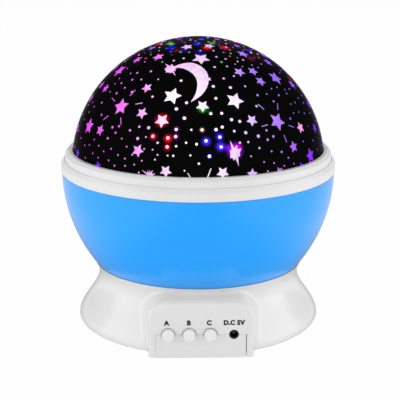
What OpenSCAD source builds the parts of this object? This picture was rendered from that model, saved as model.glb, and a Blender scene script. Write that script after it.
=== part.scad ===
// Star night light projector: a globe with a star dome that turns on a fixed, flared base.
// Millimetres, +Z up. The origin is on the ground under the globe's axis; the panel faces -Y.

/* [Dome and ring] */
// Outer diameter of the star dome
dome_d = 114.8; // [112:0.2:118]
// Wall of the star dome
dome_wall = 2; // [1.6:0.1:3]
// Height of the straight skirt under the half ball
dome_skirt = 0.9; // [0.5:0.1:1.2]
// Thickness of the flange at the dome's foot
dome_flange_t = 1.2; // [0.8:0.1:1.6]
// How far the white ring stands out past the dome
ring_overhang = 4.9; // [4:0.1:5.6]
// Height of the white ring
ring_h = 9.4; // [8:0.1:11]
// Height of the straight band at the ring's foot
ring_band_h = 3.4; // [2.6:0.1:4]
// Height of the fine step above the ring's foot
ring_step_h = 5.3; // [4.8:0.1:6]
// Depth of the fine step
ring_step = 0.4; // [0.2:0.05:0.5]
// How far the ring draws in between its band and the step
ring_shoulder = 1.3; // [0.8:0.1:1.6]
// Height of the bevel at the top of the ring
ring_bevel_h = 1.3; // [0.8:0.1:2]
// Width of the lip at the top of the ring
ring_lip = 1.6; // [1.2:0.1:2]
// Wall of the ring around the dome's flange
ring_wall = 1.6; // [1.4:0.1:2]

/* [Bowl] */
// Height of the bowl
bowl_h = 45.7; // [41:0.1:50]
// Radius of the bowl's side in section
bowl_curve_r = 68.8; // [66:0.2:74]
// Wall of the bowl
bowl_wall = 2; // [1.6:0.1:2.6]
// Step from the ring in to the bowl's rim
bowl_step = 0.3; // [0.2:0.1:0.8]
// Height of the spigot that carries the dome above the bowl's rim
spigot_h = 1.1; // [1:0.1:1.6]
// Thickness of the spigot
spigot_w = 1.85; // [1.4:0.05:2.4]
// How far the snap bead stands out of the spigot
snap_bead = 0.25; // [0.15:0.05:0.3]

/* [Base] */
// Radius of the base at its foot
base_r = 55.5; // [54:0.5:60]
// Radius of the base at its neck
neck_r = 46; // [45:0.2:47.4]
// Height of the neck above the ground
neck_z = 23; // [22:0.1:25]
// Height over which the flare leaves the foot
foot_ease = 5; // [3:0.5:8]
// Height over which the flare runs into the neck
neck_ease = 7.5; // [6:0.1:10]
// Radius of the flare above the neck
rim_flare_r = 9; // [7:0.5:24]
// Rounding of the bottom edge
foot_edge_r = 2; // [1:0.5:3]
// Gap between the base's rim and the bowl
rim_gap = 0.45; // [0.35:0.05:0.8]
// Wall of the base shell
base_wall = 2; // [1.6:0.1:2.4]
// Thickness of the deck across the base shell
deck_t = 1.6; // [1.4:0.1:2]
// Height left for wires between the battery box and the deck
wire_space = 2.1; // [1.9:0.1:3]
// Thickness of the bottom plate
plate_t = 2; // [1.8:0.1:2.4]
// Gap between the bottom plate and the shell
plate_fit = 0.2; // [0.1:0.05:0.4]

/* [Control panel] */
// Width of the control panel
panel_w = 45.2; // [43:0.2:50]
// How far the panel's face stands out in front of the foot
panel_proud = 1.5; // [0.8:0.1:3]
// Height of the panel above the shell's bottom edge
panel_h = 24.6; // [22:0.2:25]
// Radius of the panel's upper corners
panel_corner_r = 6.5; // [4:0.5:9]
// Radius of the edges around the panel's face
panel_edge_r = 2; // [1:0.25:3]
// Width of the bottom plate's tongue in the panel
tongue_w = 39; // [38:0.5:39.6]
// Height of the button and socket axes above the ground
button_z = 11.6; // [11.2:0.1:12.2]
// Distance between buttons
button_pitch = 9; // [8:0.1:9]
// Place of the middle button across the panel
button_mid_x = -5.1; // [-5.4:0.1:-5]
// Diameter of a button's cap
button_d = 5.5; // [4.5:0.1:6]
// How far a button stands out of the panel
button_proud = 2.5; // [1.5:0.1:3]
// Gap around a button in its hole
button_gap = 0.2; // [0.15:0.05:0.3]
// Travel of a button
button_travel = 0.5; // [0.3:0.1:0.6]
// Place of the power socket across the panel
jack_x = 14; // [14:0.1:14.6]
// Diameter of the panel's hole at the power socket
jack_hole_d = 4; // [3.8:0.1:4.6]
// Bore of the power socket
jack_bore_d = 3.6; // [3.5:0.1:3.7]
// Diameter of the power socket's centre pin
jack_pin_d = 1.3; // [1.1:0.05:1.35]
// Depth of the power socket's bore
jack_depth = 8.4; // [8:0.1:9]

/* [Feet and screws] */
// Height of the feet under the base
foot_h = 1; // [0.8:0.1:1.6]
// Diameter of a foot
foot_d = 8; // [6:0.5:9]
// Gap between a foot and the side of the battery box's inside
foot_clear = 1.1; // [0.8:0.1:3]
// Diameter of the screws' shanks
screw_d = 2; // [1.8:0.1:2.2]
// Diameter of the screws' heads
screw_head_d = 3.8; // [3.4:0.1:4]
// Height of a screw's head
screw_head_h = 1.1; // [0.9:0.1:1.2]
// Diameter of the screw bosses in the base
boss_d = 6.4; // [6:0.1:7]
// Angle of the base screws from the X axis
base_screw_angle = 28; // [26:1:32]
// Length of the base screws in their bosses
base_screw_grip = 6; // [5:0.5:8]
// Length of the small screws past what they hold
screw_grip = 2.6; // [2.2:0.1:3]

/* [Battery box] */
// Diameter of an AAA cell
cell_d = 10.5; // [10.1:0.1:10.6]
// Length of an AAA cell
cell_l = 44.5; // [43.8:0.1:44.8]
// Number of cells
cell_count = 4; // [3:1:4]
// Gap between cells
cell_gap = 0.1; // [0.1:0.05:0.2]
// Length of a battery spring as fitted
spring_l = 5.3; // [4.8:0.1:6]
// Wire diameter of a battery spring
spring_wire_d = 0.6; // [0.5:0.05:0.7]
// Thickness of the battery contacts
contact_t = 0.4; // [0.3:0.05:0.5]
// Wall of the battery box
box_wall = 1.4; // [1.2:0.1:1.6]
// Thickness of the battery door
door_t = 1.4; // [1.3:0.1:1.5]
// Gap around the battery door
door_gap = 0.2; // [0.15:0.05:0.3]
// Diameter of the pegs that the battery door turns on
door_peg_d = 1.4; // [1.2:0.1:1.5]

/* [Turntable and gears] */
// Gear module
gear_m = 0.8; // [0.8:0.1:0.8]
// Teeth of the ring gear
ring_teeth = 56; // [52:4:56]
// Teeth of the pinion
pinion_teeth = 14; // [12:1:14]
// Backlash between the gears
backlash = 0.24; // [0.2:0.02:0.3]
// Thickness of the ring gear
gear_t = 3; // [2.6:0.1:3.6]
// Height of the ring gear above the deck
gear_lift = 2; // [1.9:0.1:2.4]
// Bore through the middle of the ring gear
gear_bore_d = 30; // [28:0.5:31]
// Diameter of the turntable's disc
turntable_d = 60; // [54:1:70]
// Thickness of the turntable's disc
turntable_t = 2; // [1.6:0.1:2.6]
// Outer diameter of the turntable's hub
hub_d = 22; // [20:0.5:23]
// Length of the turntable's hub
hub_l = 14; // [11:0.5:18]
// Diameter of the circle of turntable screws
turntable_screw_circle = 36.4; // [35.6:0.2:37.4]
// Radial clearance of the running fits
running_fit = 0.06; // [0.03:0.01:0.09]

/* [Lamp column] */
// Diameter of the column's journal
column_d = 16; // [15:0.5:17]
// Diameter of the column above the journal
column_top_d = 12; // [11:0.5:13]
// Bore of the column
column_bore_d = 9; // [8:0.5:9.4]
// Diameter of the column's flange
column_flange_d = 33; // [32:0.5:34]
// Thickness of the column's flange
column_flange_t = 1.3; // [1.2:0.05:1.4]
// Thickness of the thrust washer
washer_t = 0.5; // [0.4:0.05:0.5]
// Thickness of the circlip
circlip_t = 1; // [0.8:0.1:1.2]
// Diameter of the lamp board
led_board_d = 26; // [24:0.5:30]
// Distance of each light from the column's axis
led_ring_r = 5.5; // [5:0.1:7]
// Diameter of a light's body
led_d = 5; // [4.8:0.1:5.2]
// Height of a light above its board
led_h = 8.6; // [8:0.1:9]

/* [Motor and board] */
// Diameter of the gear motor
motor_d = 24; // [22:0.5:24]
// Height of the gear motor
motor_h = 8.6; // [8:0.1:9]
// Diameter of the motor's shaft
shaft_d = 3; // [2.8:0.1:3.2]
// Thickness of the circuit boards
board_t = 1.6; // [1.2:0.1:1.6]
// Width of the main board
board_w = 38; // [37:0.5:39]
// Depth of the main board
board_l = 12.8; // [12.4:0.1:13]
// Height of a switch's axis above the main board
switch_axis_h = 3.6; // [3.4:0.1:3.8]
// Length of the driver chip under the main board
chip_l = 5; // [4.6:0.1:5.2]
// Width of the driver chip
chip_w = 3.2; // [3:0.1:4]
// Height of the driver chip
chip_h = 1.4; // [1:0.1:1.6]
// Diameter of the capacitor
capacitor_d = 3.6; // [3:0.1:3.8]
// Height of the capacitor
capacitor_h = 4.6; // [4:0.1:5.5]
// Width of a switch
switch_w = 6; // [5.6:0.1:6.2]
// Diameter of a switch's plunger
plunger_d = 3; // [2.6:0.1:3.2]
// Diameter of the wires
wire_d = 0.9; // [0.7:0.1:1]

/* [Hidden] */
$fn = 96;

// Clearances
eps = 0.01;          // overlap that joins or cuts cleanly
seat = 0.05;         // fixed pieces that plug into each other
air = 0.3;           // pieces that move past each other
thread_fit = 0.05;   // a screw in its own thread

// Heights of the base, from the ground up
plate_top = foot_h + plate_t;
cell_z = foot_h + door_t + 0.5 + cell_d / 2;
box_in_top = cell_z + cell_d / 2 + air;
box_top = box_in_top + 1.2;
deck_z = box_top + wire_space;
deck_top = deck_z + deck_t;
washer_z = deck_top + column_flange_t;
hub_z = washer_z + washer_t + 0.2;
gear_z = deck_top + gear_lift;
disc_z = gear_z + gear_t;
bowl_z = disc_z + turntable_t;
hub_top = hub_z + hub_l;
circlip_z = hub_top + air;

// The globe
dome_r = dome_d / 2;
ring_r = dome_r + ring_overhang;
bowl_top = bowl_z + bowl_h;
bowl_r = ring_r - bowl_step;
bowl_centre_r = bowl_r - bowl_curve_r;
dome_z = bowl_top + spigot_h;
ball_z = dome_z + dome_skirt;
dome_fit = 0.2;
pocket_r = ring_r - ring_wall;
spigot_r = pocket_r - 0.15;
shoulder_z = dome_z + dome_flange_t;
ring_top = bowl_top + ring_h;
ring_top_r = sqrt(pow(dome_r + dome_fit, 2) - pow(ring_top - ball_z, 2)) + ring_lip;
ring_mid_z = bowl_top + ring_step_h;
ring_mid_r = ring_r - ring_shoulder;
bead_h = 0.4;
bead_z = bowl_top + 0.35;

// The base shell and its plate
rim_z = neck_z + 7;
plate_r = base_r - base_wall - plate_fit;
base_screw_r = neck_r - base_wall - boss_d / 6;
foot_circle_r = plate_r - foot_d / 2 - 0.8;
foot_recess = 0.4;
tongue_top = button_z - 0.1;
panel_depth = 27;
panel_y = base_r + panel_proud;
panel_inner_y = panel_y - base_wall;

// The battery box
cell_pitch = cell_d + cell_gap;
box_x = (cell_l + spring_l + 2 * contact_t) / 2 + 0.1;
box_back = 31.4;
box_front = box_back - cell_count * cell_pitch - 0.2;
door_barrel_r = door_peg_d / 2 + 0.5;
door_axis_y = box_back - door_barrel_r - door_gap;
door_axis_z = foot_h + door_barrel_r;
door_ear_w = 8;
door_screw_y = box_front - 3.8;
pole_x = box_x - cell_d / 2 - 0.15;

foot_angle = acos((box_x + foot_d / 2 + foot_clear) / foot_circle_r);

// The gears: the pinion stands on the -Y side
pressure = 25;
ring_pitch_r = gear_m * ring_teeth / 2;
pinion_pitch_r = gear_m * pinion_teeth / 2;
motor_y = -(ring_pitch_r + pinion_pitch_r);
motor_z = deck_z - motor_h;
motor_can_h = motor_h * 0.55;
motor_ear_x = motor_d / 2 + 2.5;
motor_ear_t = 1.4;
motor_boss_r = shaft_d / 2 + 2;

// The lamp column
groove_r = column_d / 2 - 0.6;
column_step_z = circlip_z + circlip_t + 1;
holder_t = 1;
lamp_z = dome_z - led_h - board_t - holder_t;
column_screw_r = column_flange_d / 2 - screw_head_d / 2 - 1.1;

// The main board
board_top = button_z - switch_axis_h;
board_z = board_top - board_t;
board_front = -(panel_inner_y - 1);
board_back = board_front + board_l;
board_screw_y = board_back - 2.2;
button_x = [for (i = [-1:1]) button_mid_x + i * button_pitch];
board_screw_x = [(button_x[0] + button_x[1]) / 2, (button_x[2] + jack_x) / 2 - 1.4];
wire_end_z = board_top + 0.15;
cap_flange_t = 0.8;
cap_front = -(panel_y + button_proud);
cap_flange_y = -(panel_inner_y - air);
cap_back = cap_flange_y + cap_flange_t;
switch_front = board_front + 3;
switch_l = 3.5;
plunger_back = switch_front + 1;
jack_w = 6.6;
jack_h = 7;
jack_front = -(panel_inner_y - 0.1);
jack_l = jack_depth + 2;
jack_root_d = jack_pin_d + 0.8;

// Points on a cubic curve from p0 to p3
function bezier(p0, p1, p2, p3, n) = [
    for (i = [0:n]) let (t = i / n, s = 1 - t)
        s * s * s * p0 + 3 * s * s * t * p1 + 3 * s * t * t * p2 + t * t * t * p3
];

// Points of a smooth curve through a list of points, n steps a span
function smooth(p, n) = concat([for (i = [0:len(p) - 2], j = [0:n - 1])
    let (a = p[max(i - 1, 0)], b = p[i], c = p[i + 1], d = p[min(i + 2, len(p) - 1)], t = j / n)
        b + t * (c - a) / 2 + t * t * (a - 2.5 * b + 2 * c - d / 2)
        + t * t * t * (b * 1.5 - c * 1.5 + (d - a) / 2)], [p[len(p) - 1]]);

// The base's outer side from the foot to the rim, moved in by inset
function flare(inset) = concat(
    bezier([base_r - inset, foot_h + foot_edge_r],
        [base_r - inset, foot_h + foot_edge_r + foot_ease],
        [neck_r - inset, neck_z - neck_ease],
        [neck_r - inset, neck_z], 24),
    [for (i = [1:8]) let (z = neck_z + (rim_z - neck_z) * i / 8)
        [neck_r - inset + pow(z - neck_z, 2) / (2 * rim_flare_r), z]]);

// Gear teeth: half of a tooth's angle at radius r
function involute(a) = tan(a) * 180 / PI - a;
function half_tooth(r, teeth) =
    let (pitch_r = gear_m * teeth / 2, base = pitch_r * cos(pressure))
        90 / teeth - backlash / 4 / pitch_r * 180 / PI
        + involute(pressure) - involute(acos(min(1, base / r)));

// Outline of a gear whose first tooth lies on +X
function gear_points(teeth) =
    let (
        pitch_r = gear_m * teeth / 2, root_r = pitch_r - 1.25 * gear_m,
        tip_r = pitch_r + gear_m, start_r = max(root_r, pitch_r * cos(pressure)),
        flank = concat(start_r > root_r ? [root_r] : [],
            [for (i = [0:4]) start_r + (tip_r - start_r) * i / 4]),
        n = len(flank)
    ) [
        for (k = [0:teeth - 1], i = [0:2 * n - 1])
            let (
                r = i < n ? flank[i] : flank[2 * n - 1 - i],
                a = 360 * k / teeth + (i < n ? -1 : 1) * half_tooth(r, teeth)
            ) r * [cos(a), sin(a)]
    ];

// A round wire of diameter d along points that never run parallel to X
module wire(points, d, sides = 6) {
    n = len(points);
    rings = [for (i = [0:n - 1])
        let (
            t = points[min(i + 1, n - 1)] - points[max(i - 1, 0)],
            u = cross([1, 0, 0], t) / norm(cross([1, 0, 0], t)),
            v = cross(t, u) / norm(t)
        ) for (k = [0:sides - 1])
            points[i] + d / 2 * (cos(360 * k / sides) * u + sin(360 * k / sides) * v)];
    skin = [for (i = [0:n - 2], k = [0:sides - 1], half = [0, 1])
        let (a = i * sides, b = a + sides, m = (k + 1) % sides)
            half == 0 ? [a + k, b + k, b + m] : [a + k, b + m, a + m]];
    ends = [for (k = [1:sides - 2], last = [0, (n - 1) * sides])
        last == 0 ? [0, k, k + 1] : [last, last + k + 1, last + k]];
    polyhedron(rings, concat(skin, ends), convexity = 4);
}

// A rod along +Y that starts at y
module rod_y(x, y, z, d, l) {
    translate([x, y, z]) rotate([-90, 0, 0]) cylinder(d = d, h = l);
}

// A screw that points up: pan head below z = 0, shank above
module pan_screw(l) {
    translate([0, 0, -screw_head_h]) cylinder(d = screw_head_d, h = screw_head_h);
    translate([0, 0, -eps]) cylinder(d = screw_d, h = l + eps);
}

// A screw that points up, its countersunk head flush with z = 0
module flat_screw(l, grow = 0) {
    translate([0, 0, grow > 0 ? -eps : 0])
        cylinder(d1 = screw_head_d + 2 * grow, d2 = screw_d + 2 * grow, h = screw_head_h + grow);
    cylinder(d = screw_d + 2 * grow, h = l);
}

// Children at (r, angle) on each of the four corners of a rectangle
module four_corners(r, angle) {
    for (sx = [-1, 1], sy = [-1, 1])
        translate([sx * r * cos(angle), sy * r * sin(angle), 0]) children();
}

// A rectangle whose two upper corners are round
module round_top(w, h, r) {
    translate([-w / 2, 0]) square([w, h - r]);
    translate([-w / 2 + r, 0]) square([w - 2 * r, h]);
    for (s = [-1, 1]) translate([s * (w / 2 - r), h - r]) circle(r);
}

// ---- Globe ----

// Section of the bowl's outer form, grown outwards by grow
module bowl_form(grow) {
    intersection() {
        translate([bowl_centre_r, bowl_top]) circle(r = bowl_curve_r + grow, $fn = 180);
        translate([0, bowl_z - grow]) square([bowl_r + 10, bowl_h + 2 * grow + 10]);
    }
}

module bowl() {
    color("dodgerblue") difference() {
        rotate_extrude($fn = 180) difference() {
            union() {
                intersection() {
                    difference() {
                        bowl_form(0);
                        bowl_form(-bowl_wall);
                    }
                    square([bowl_r + 10, bowl_top]);
                }
                translate([spigot_r - spigot_w, bowl_top - 1.5]) square([spigot_w, spigot_h + 1.5]);
                translate([spigot_r - eps, bead_z]) square([snap_bead + eps, bead_h]);
            }
            square([hub_d / 2 + dome_fit, bowl_z + bowl_wall + 1]);
        }
        turntable_screw_places() translate([0, 0, bowl_z - 1])
            cylinder(d = screw_d + dome_fit, h = bowl_wall + 2);
    }
}

module dome_ring() {
    color("white") rotate_extrude($fn = 180) difference() {
        polygon([
            [dome_r - 4, bowl_top], [ring_r, bowl_top], [ring_r, bowl_top + ring_band_h],
            [ring_mid_r, ring_mid_z], [ring_mid_r - ring_step, ring_mid_z],
            [ring_mid_r - 2 * ring_step, ring_top - ring_bevel_h],
            [ring_top_r, ring_top], [dome_r - 4, ring_top]
        ]);
        translate([0, bowl_top - 1]) square([pocket_r, shoulder_z - bowl_top + 1]);
        translate([0, bead_z - 0.1]) square([spigot_r + snap_bead + 0.1, bead_h + 0.2]);
        translate([0, ball_z]) circle(r = dome_r + dome_fit, $fn = 180);
    }
}

module star_dome() {
    color([0.03, 0.03, 0.05]) rotate_extrude($fn = 180) {
        intersection() {
            difference() {
                translate([0, ball_z]) circle(r = dome_r, $fn = 180);
                translate([0, ball_z]) circle(r = dome_r - dome_wall, $fn = 180);
            }
            translate([0, ball_z]) square([dome_r + 1, dome_r + 1]);
        }
        translate([dome_r - dome_wall, dome_z]) square([dome_wall, dome_skirt]);
        translate([dome_r - dome_wall, dome_z]) square([spigot_r - dome_r + dome_wall, dome_flange_t]);
    }
}

module turntable_screw_places() {
    for (a = [45:90:315]) rotate(a) translate([turntable_screw_circle / 2, 0, 0]) children();
}

module turntable() {
    color("gainsboro") difference() {
        union() {
            translate([0, 0, disc_z]) cylinder(d = turntable_d, h = turntable_t);
            translate([0, 0, hub_z]) cylinder(d = hub_d, h = hub_l);
        }
        translate([0, 0, hub_z - 1]) cylinder(d = column_d + 2 * running_fit, h = hub_l + 2);
        turntable_screw_places() translate([0, 0, disc_z - 1])
            cylinder(d = screw_d + dome_fit, h = turntable_t + 2);
    }
}

module turntable_screws() {
    color("silver") turntable_screw_places()
        translate([0, 0, bowl_z + bowl_wall]) mirror([0, 0, 1])
            pan_screw(bowl_wall + turntable_t + gear_t - 0.6);
}

module ring_gear() {
    color("ivory") difference() {
        translate([0, 0, gear_z]) rotate(-90 + 180 / ring_teeth)
            linear_extrude(gear_t) polygon(gear_points(ring_teeth));
        translate([0, 0, gear_z - 1]) cylinder(d = gear_bore_d, h = gear_t + 2);
        turntable_screw_places() translate([0, 0, gear_z - 1])
            cylinder(d = screw_d + 2 * thread_fit, h = gear_t + 2);
    }
}

// ---- Drive ----

module drive_pinion() {
    color("ivory") difference() {
        translate([0, motor_y, gear_z]) rotate(90)
            linear_extrude(gear_t - air) polygon(gear_points(pinion_teeth));
        translate([0, motor_y, gear_z - 1]) cylinder(d = shaft_d + 2 * seat, h = gear_t + 2);
    }
}

module motor_shaft() {
    top = gear_z + gear_t - air;
    bottom = motor_z + motor_h / 2;
    color("silver") translate([0, motor_y, bottom]) cylinder(d = shaft_d, h = top - bottom);
}

module motor_ear_places() {
    for (s = [-1, 1]) translate([s * motor_ear_x, motor_y, 0]) children();
}

module gear_motor() {
    color("darkgray") difference() {
        union() {
            translate([0, motor_y, motor_z]) cylinder(d = motor_d - 4, h = motor_h - eps);
            translate([0, motor_y, motor_z + motor_can_h]) cylinder(d = motor_d, h = motor_h - motor_can_h);
            translate([0, motor_y, deck_z - eps]) cylinder(r = motor_boss_r, h = deck_t + eps);
            translate([-motor_ear_x, motor_y - 3, deck_z - motor_ear_t])
                cube([2 * motor_ear_x, 6, motor_ear_t]);
            motor_ear_places() translate([0, 0, deck_z - motor_ear_t]) cylinder(r = 3, h = motor_ear_t);
            translate([-3.5, motor_y - motor_d / 2 + 1, motor_z + 1]) cube([7, 3, 3]);
        }
        translate([0, motor_y, motor_z + motor_h / 2 - air])
            cylinder(d = shaft_d + 2 * running_fit, h = motor_h);
        motor_ear_places() translate([0, 0, deck_z - motor_ear_t - 1])
            cylinder(d = screw_d + 2 * thread_fit, h = motor_ear_t + 2);
    }
}

module motor_screws() {
    color("silver") motor_ear_places() translate([0, 0, deck_top]) mirror([0, 0, 1])
        pan_screw(deck_t + motor_ear_t + 1);
}

module motor_wires() {
    y0 = motor_y - motor_d / 2 + 1;
    land_y = min(board_back - 1, y0 - 2.2);
    color("firebrick") for (x = [1.2, 3])
        wire(smooth([
            [x, y0 - 0.12, motor_z + 2.3], [x, y0 - 1.1, motor_z + 2.2],
            [x, land_y + 0.1, board_top + 1.3], [x, land_y, wire_end_z]
        ], 4), wire_d);
}

// ---- Base ----

// Section of the base's outer form
module base_form() {
    difference() {
        union() {
            polygon(concat([[0, foot_h], [base_r - foot_edge_r, foot_h],
                [base_r, foot_h + foot_edge_r]], flare(0), [[0, rim_z]]));
            translate([base_r - foot_edge_r, foot_h + foot_edge_r]) circle(foot_edge_r);
        }
        bowl_form(rim_gap);
    }
}

// The panel block, drawn in on every side by inset
module panel_block(inset) {
    w = panel_w - 2 * inset;
    top = foot_h + panel_h - inset;
    low = foot_h - inset;
    y0 = -(panel_y - inset);
    intersection() {
        translate([0, y0 + panel_depth, low]) rotate([90, 0, 0])
            linear_extrude(panel_depth) round_top(w, top - low, panel_corner_r - inset / 2);
        translate([-w, y0 + panel_depth, low]) rotate([90, 0, 90])
            linear_extrude(2 * w) round_top(2 * panel_depth, top - low, panel_edge_r);
        translate([0, y0 + panel_depth, low]) rotate(180)
            linear_extrude(top - low) round_top(w, panel_depth, panel_edge_r);
    }
}

module base_shell() {
    color("white") difference() {
        union() {
            difference() {
                union() {
                    rotate_extrude($fn = 180) base_form();
                    panel_block(0);
                }
                rotate_extrude($fn = 180) intersection() {
                    polygon(concat([[0, 0], [base_r - base_wall, 0]], flare(base_wall), [[0, rim_z]]));
                    square([base_r, deck_z]);
                }
                translate([0, 0, deck_top]) cylinder(r = neck_r - base_wall, h = rim_z);
                difference() {
                    panel_block(base_wall);
                    translate([0, 0, deck_z]) cylinder(r = neck_r, h = rim_z);
                }
            }
            four_corners(base_screw_r, base_screw_angle) translate([0, 0, plate_top])
                cylinder(d = boss_d, h = deck_z - plate_top + eps);
            column_screw_places() translate([0, 0, deck_z - 1.8]) cylinder(d = 4.4, h = 1.8 + eps);
        }
        translate([-tongue_w / 2, -panel_y - 1, foot_h - 1])
            cube([tongue_w, base_wall + 2, button_z - foot_h + 1]);
        for (x = button_x) rod_y(x, -panel_y - 1, button_z, button_d + 2 * button_gap, base_wall + 2);
        rod_y(jack_x, -panel_y - 1, button_z, jack_hole_d, base_wall + 2);
        translate([0, 0, deck_z - 1]) cylinder(d = column_bore_d, h = deck_t + 2);
        translate([0, motor_y, deck_z - 1]) cylinder(r = motor_boss_r + 0.2, h = deck_t + 2);
        motor_ear_places() translate([0, 0, deck_z - 1]) cylinder(d = screw_d + dome_fit, h = deck_t + 2);
        column_screw_places() translate([0, 0, deck_z - 3])
            cylinder(d = screw_d + 2 * thread_fit, h = deck_t + 4);
        four_corners(base_screw_r, base_screw_angle) translate([0, 0, plate_top - 1])
            cylinder(d = screw_d + 2 * thread_fit, h = base_screw_grip + 3);
    }
}

module base_plate() {
    color("whitesmoke") difference() {
        union() {
            intersection() {
                translate([0, 0, foot_h]) cylinder(r = plate_r, h = plate_t, $fn = 180);
                translate([-base_r, -panel_inner_y + plate_fit, foot_h]) cube(2 * base_r);
            }
            intersection() {
                panel_block(base_wall + plate_fit);
                translate([-base_r, -panel_y, foot_h]) cube([2 * base_r, panel_y, plate_t]);
            }
            translate([-tongue_w / 2 + 0.1, -panel_y, foot_h]) {
                cube([tongue_w - 0.2, base_wall, tongue_top - foot_h]);
                cube([tongue_w - 0.2, 2 * base_wall, plate_t]);
            }
            translate([-box_x - box_wall, box_front - box_wall, foot_h])
                cube([2 * (box_x + box_wall), box_back - box_front + 2 * box_wall, box_top - foot_h]);
            translate([0, door_screw_y, foot_h]) cylinder(d = 5, h = motor_z - air - foot_h);
            for (x = board_screw_x) translate([x, board_screw_y, foot_h])
                cylinder(d = 3.4, h = board_z - foot_h);
        }
        translate([-box_x, box_front, foot_h - 1])
            cube([2 * box_x, box_back - box_front, box_in_top - foot_h + 1]);
        door_ear(foot_h - 1, door_t + 0.1 + 1, door_gap);
        translate([0, door_screw_y, foot_h])
            cylinder(d = screw_d + 2 * thread_fit, h = door_t + 1 + screw_grip);
        rotate([0, 90, 0]) translate([-door_axis_z, door_axis_y, -box_x - box_wall - 1])
            cylinder(d = door_peg_d + 2 * running_fit, h = 2 * (box_x + box_wall + 1));
        for (x = button_x) rod_y(x, -panel_y - 1, button_z, button_d + 2 * button_gap, base_wall + 2);
        rod_y(jack_x, -panel_y - 1, button_z, jack_hole_d, base_wall + 2);
        four_corners(base_screw_r, base_screw_angle) translate([0, 0, foot_h]) flat_screw(plate_t + 1, 0.1);
        four_corners(foot_circle_r, foot_angle) translate([0, 0, foot_h - 1])
            cylinder(d = foot_d + 0.2, h = 1 + foot_recess);
        for (x = board_screw_x) translate([x, board_screw_y, board_z - screw_grip - 0.4])
            cylinder(d = screw_d + 2 * thread_fit, h = screw_grip + 1.4);
        for (s = [-1, 1]) rod_y(s * pole_x, box_front - box_wall - 1, cell_z, 1.2, box_wall + 2);
    }
}

module base_screws() {
    color("silver") four_corners(base_screw_r, base_screw_angle)
        translate([0, 0, foot_h]) flat_screw(plate_t + base_screw_grip);
}

module rubber_feet() {
    color("dimgray") four_corners(foot_circle_r, foot_angle) cylinder(d = foot_d, h = foot_h + foot_recess);
}

// ---- Battery box ----

// Children at each cell's axis; turn is 1 or -1 by turns
module cell_places() {
    for (i = [0:cell_count - 1])
        translate([0, box_front + 0.1 + cell_pitch * (i + 0.5), cell_z])
            rotate(i % 2 == 0 ? 0 : 180) children();
}

module battery_cells() {
    nub = 0.8;
    color("seagreen") cell_places() translate([-box_x + contact_t + 0.05, 0, 0]) rotate([0, 90, 0]) {
        translate([0, 0, nub]) cylinder(d = cell_d, h = cell_l - nub);
        cylinder(d = 3.8, h = nub + eps);
    }
}

module battery_springs() {
    turns = 3;
    steps = 36;
    x0 = -box_x + contact_t + cell_l + 0.1;
    x1 = box_x - contact_t - spring_wire_d / 2 - 0.05;
    color("silver") cell_places() wire([for (i = [0:steps])
        let (f = i / steps, r = 1.8 + 1.7 * f, a = 360 * turns * f)
            [x0 + spring_wire_d / 2 + (x1 - x0 - spring_wire_d / 2) * f, r * cos(a), r * sin(a)]],
        spring_wire_d);
}

module battery_contacts() {
    size = cell_d - 2.5;
    color("silver") {
        cell_places() for (x = [-box_x + 0.02, box_x - contact_t - 0.02])
            translate([x, -size / 2, -size / 2]) cube([contact_t, size, size]);
        for (s = [-1, 1]) rod_y(s * pole_x, box_front - box_wall - 0.8, cell_z, 1, box_wall + 0.8);
    }
}

module battery_wires() {
    y0 = box_front - box_wall - 0.85;
    plus_x = button_x[0] + 0.9;
    minus_x = board_w / 2 - 1.4;
    color("firebrick") wire(smooth([
        [-pole_x, y0, cell_z], [-pole_x, y0 - 4, cell_z], [1 - pole_x, motor_y - 2, cell_z + 1],
        [plus_x + 0.1, board_back + 2, board_top + 2.6],
        [plus_x, board_back - 1.5, board_top + 1], [plus_x, board_back - 1.5, wire_end_z]
    ], 4), wire_d);
    color("black") wire(smooth([
        [pole_x, y0, cell_z], [pole_x, y0 - 4, cell_z], [pole_x + 1, motor_y - 2, cell_z - 3],
        [minus_x + 0.2, board_back + 2, board_top - 0.4],
        [minus_x, board_back - 1, board_top + 1.6], [minus_x, board_back - 1.2, wire_end_z]
    ], 4), wire_d);
}

// The door's ear under the bottom plate, from z up by h, grown by grow
module door_ear(z, h, grow) {
    translate([-door_ear_w / 2 - grow, door_screw_y, z])
        cube([door_ear_w + 2 * grow, box_front - door_screw_y + 1, h]);
    translate([0, door_screw_y, z]) cylinder(d = door_ear_w + 2 * grow, h = h);
}

module battery_door() {
    door_x = box_x - door_gap;
    color("whitesmoke") difference() {
        union() {
            translate([-door_x, box_front + door_gap, foot_h])
                cube([2 * door_x, door_axis_y - box_front - door_gap, door_t]);
            door_ear(foot_h, door_t, 0);
            rotate([0, 90, 0]) translate([-door_axis_z, door_axis_y, -door_x])
                cylinder(r = door_barrel_r, h = 2 * door_x);
            rotate([0, 90, 0]) translate([-door_axis_z, door_axis_y, -door_x - box_wall])
                cylinder(d = door_peg_d, h = 2 * (door_x + box_wall));
        }
        translate([0, door_screw_y, foot_h]) flat_screw(door_t + 1, 0.1);
    }
}

module door_screw() {
    color("silver") translate([0, door_screw_y, foot_h]) flat_screw(door_t + 1 + screw_grip);
}

// ---- Electronics ----

module main_board() {
    color("darkgreen") difference() {
        translate([-board_w / 2, board_front, board_z]) cube([board_w, board_l, board_t]);
        for (x = board_screw_x) translate([x, board_screw_y, board_z - 1])
            cylinder(d = screw_d + 0.3, h = board_t + 2);
    }
}

module board_screws() {
    color("silver") for (x = board_screw_x) translate([x, board_screw_y, board_top])
        mirror([0, 0, 1]) pan_screw(board_t + screw_grip);
}

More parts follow.
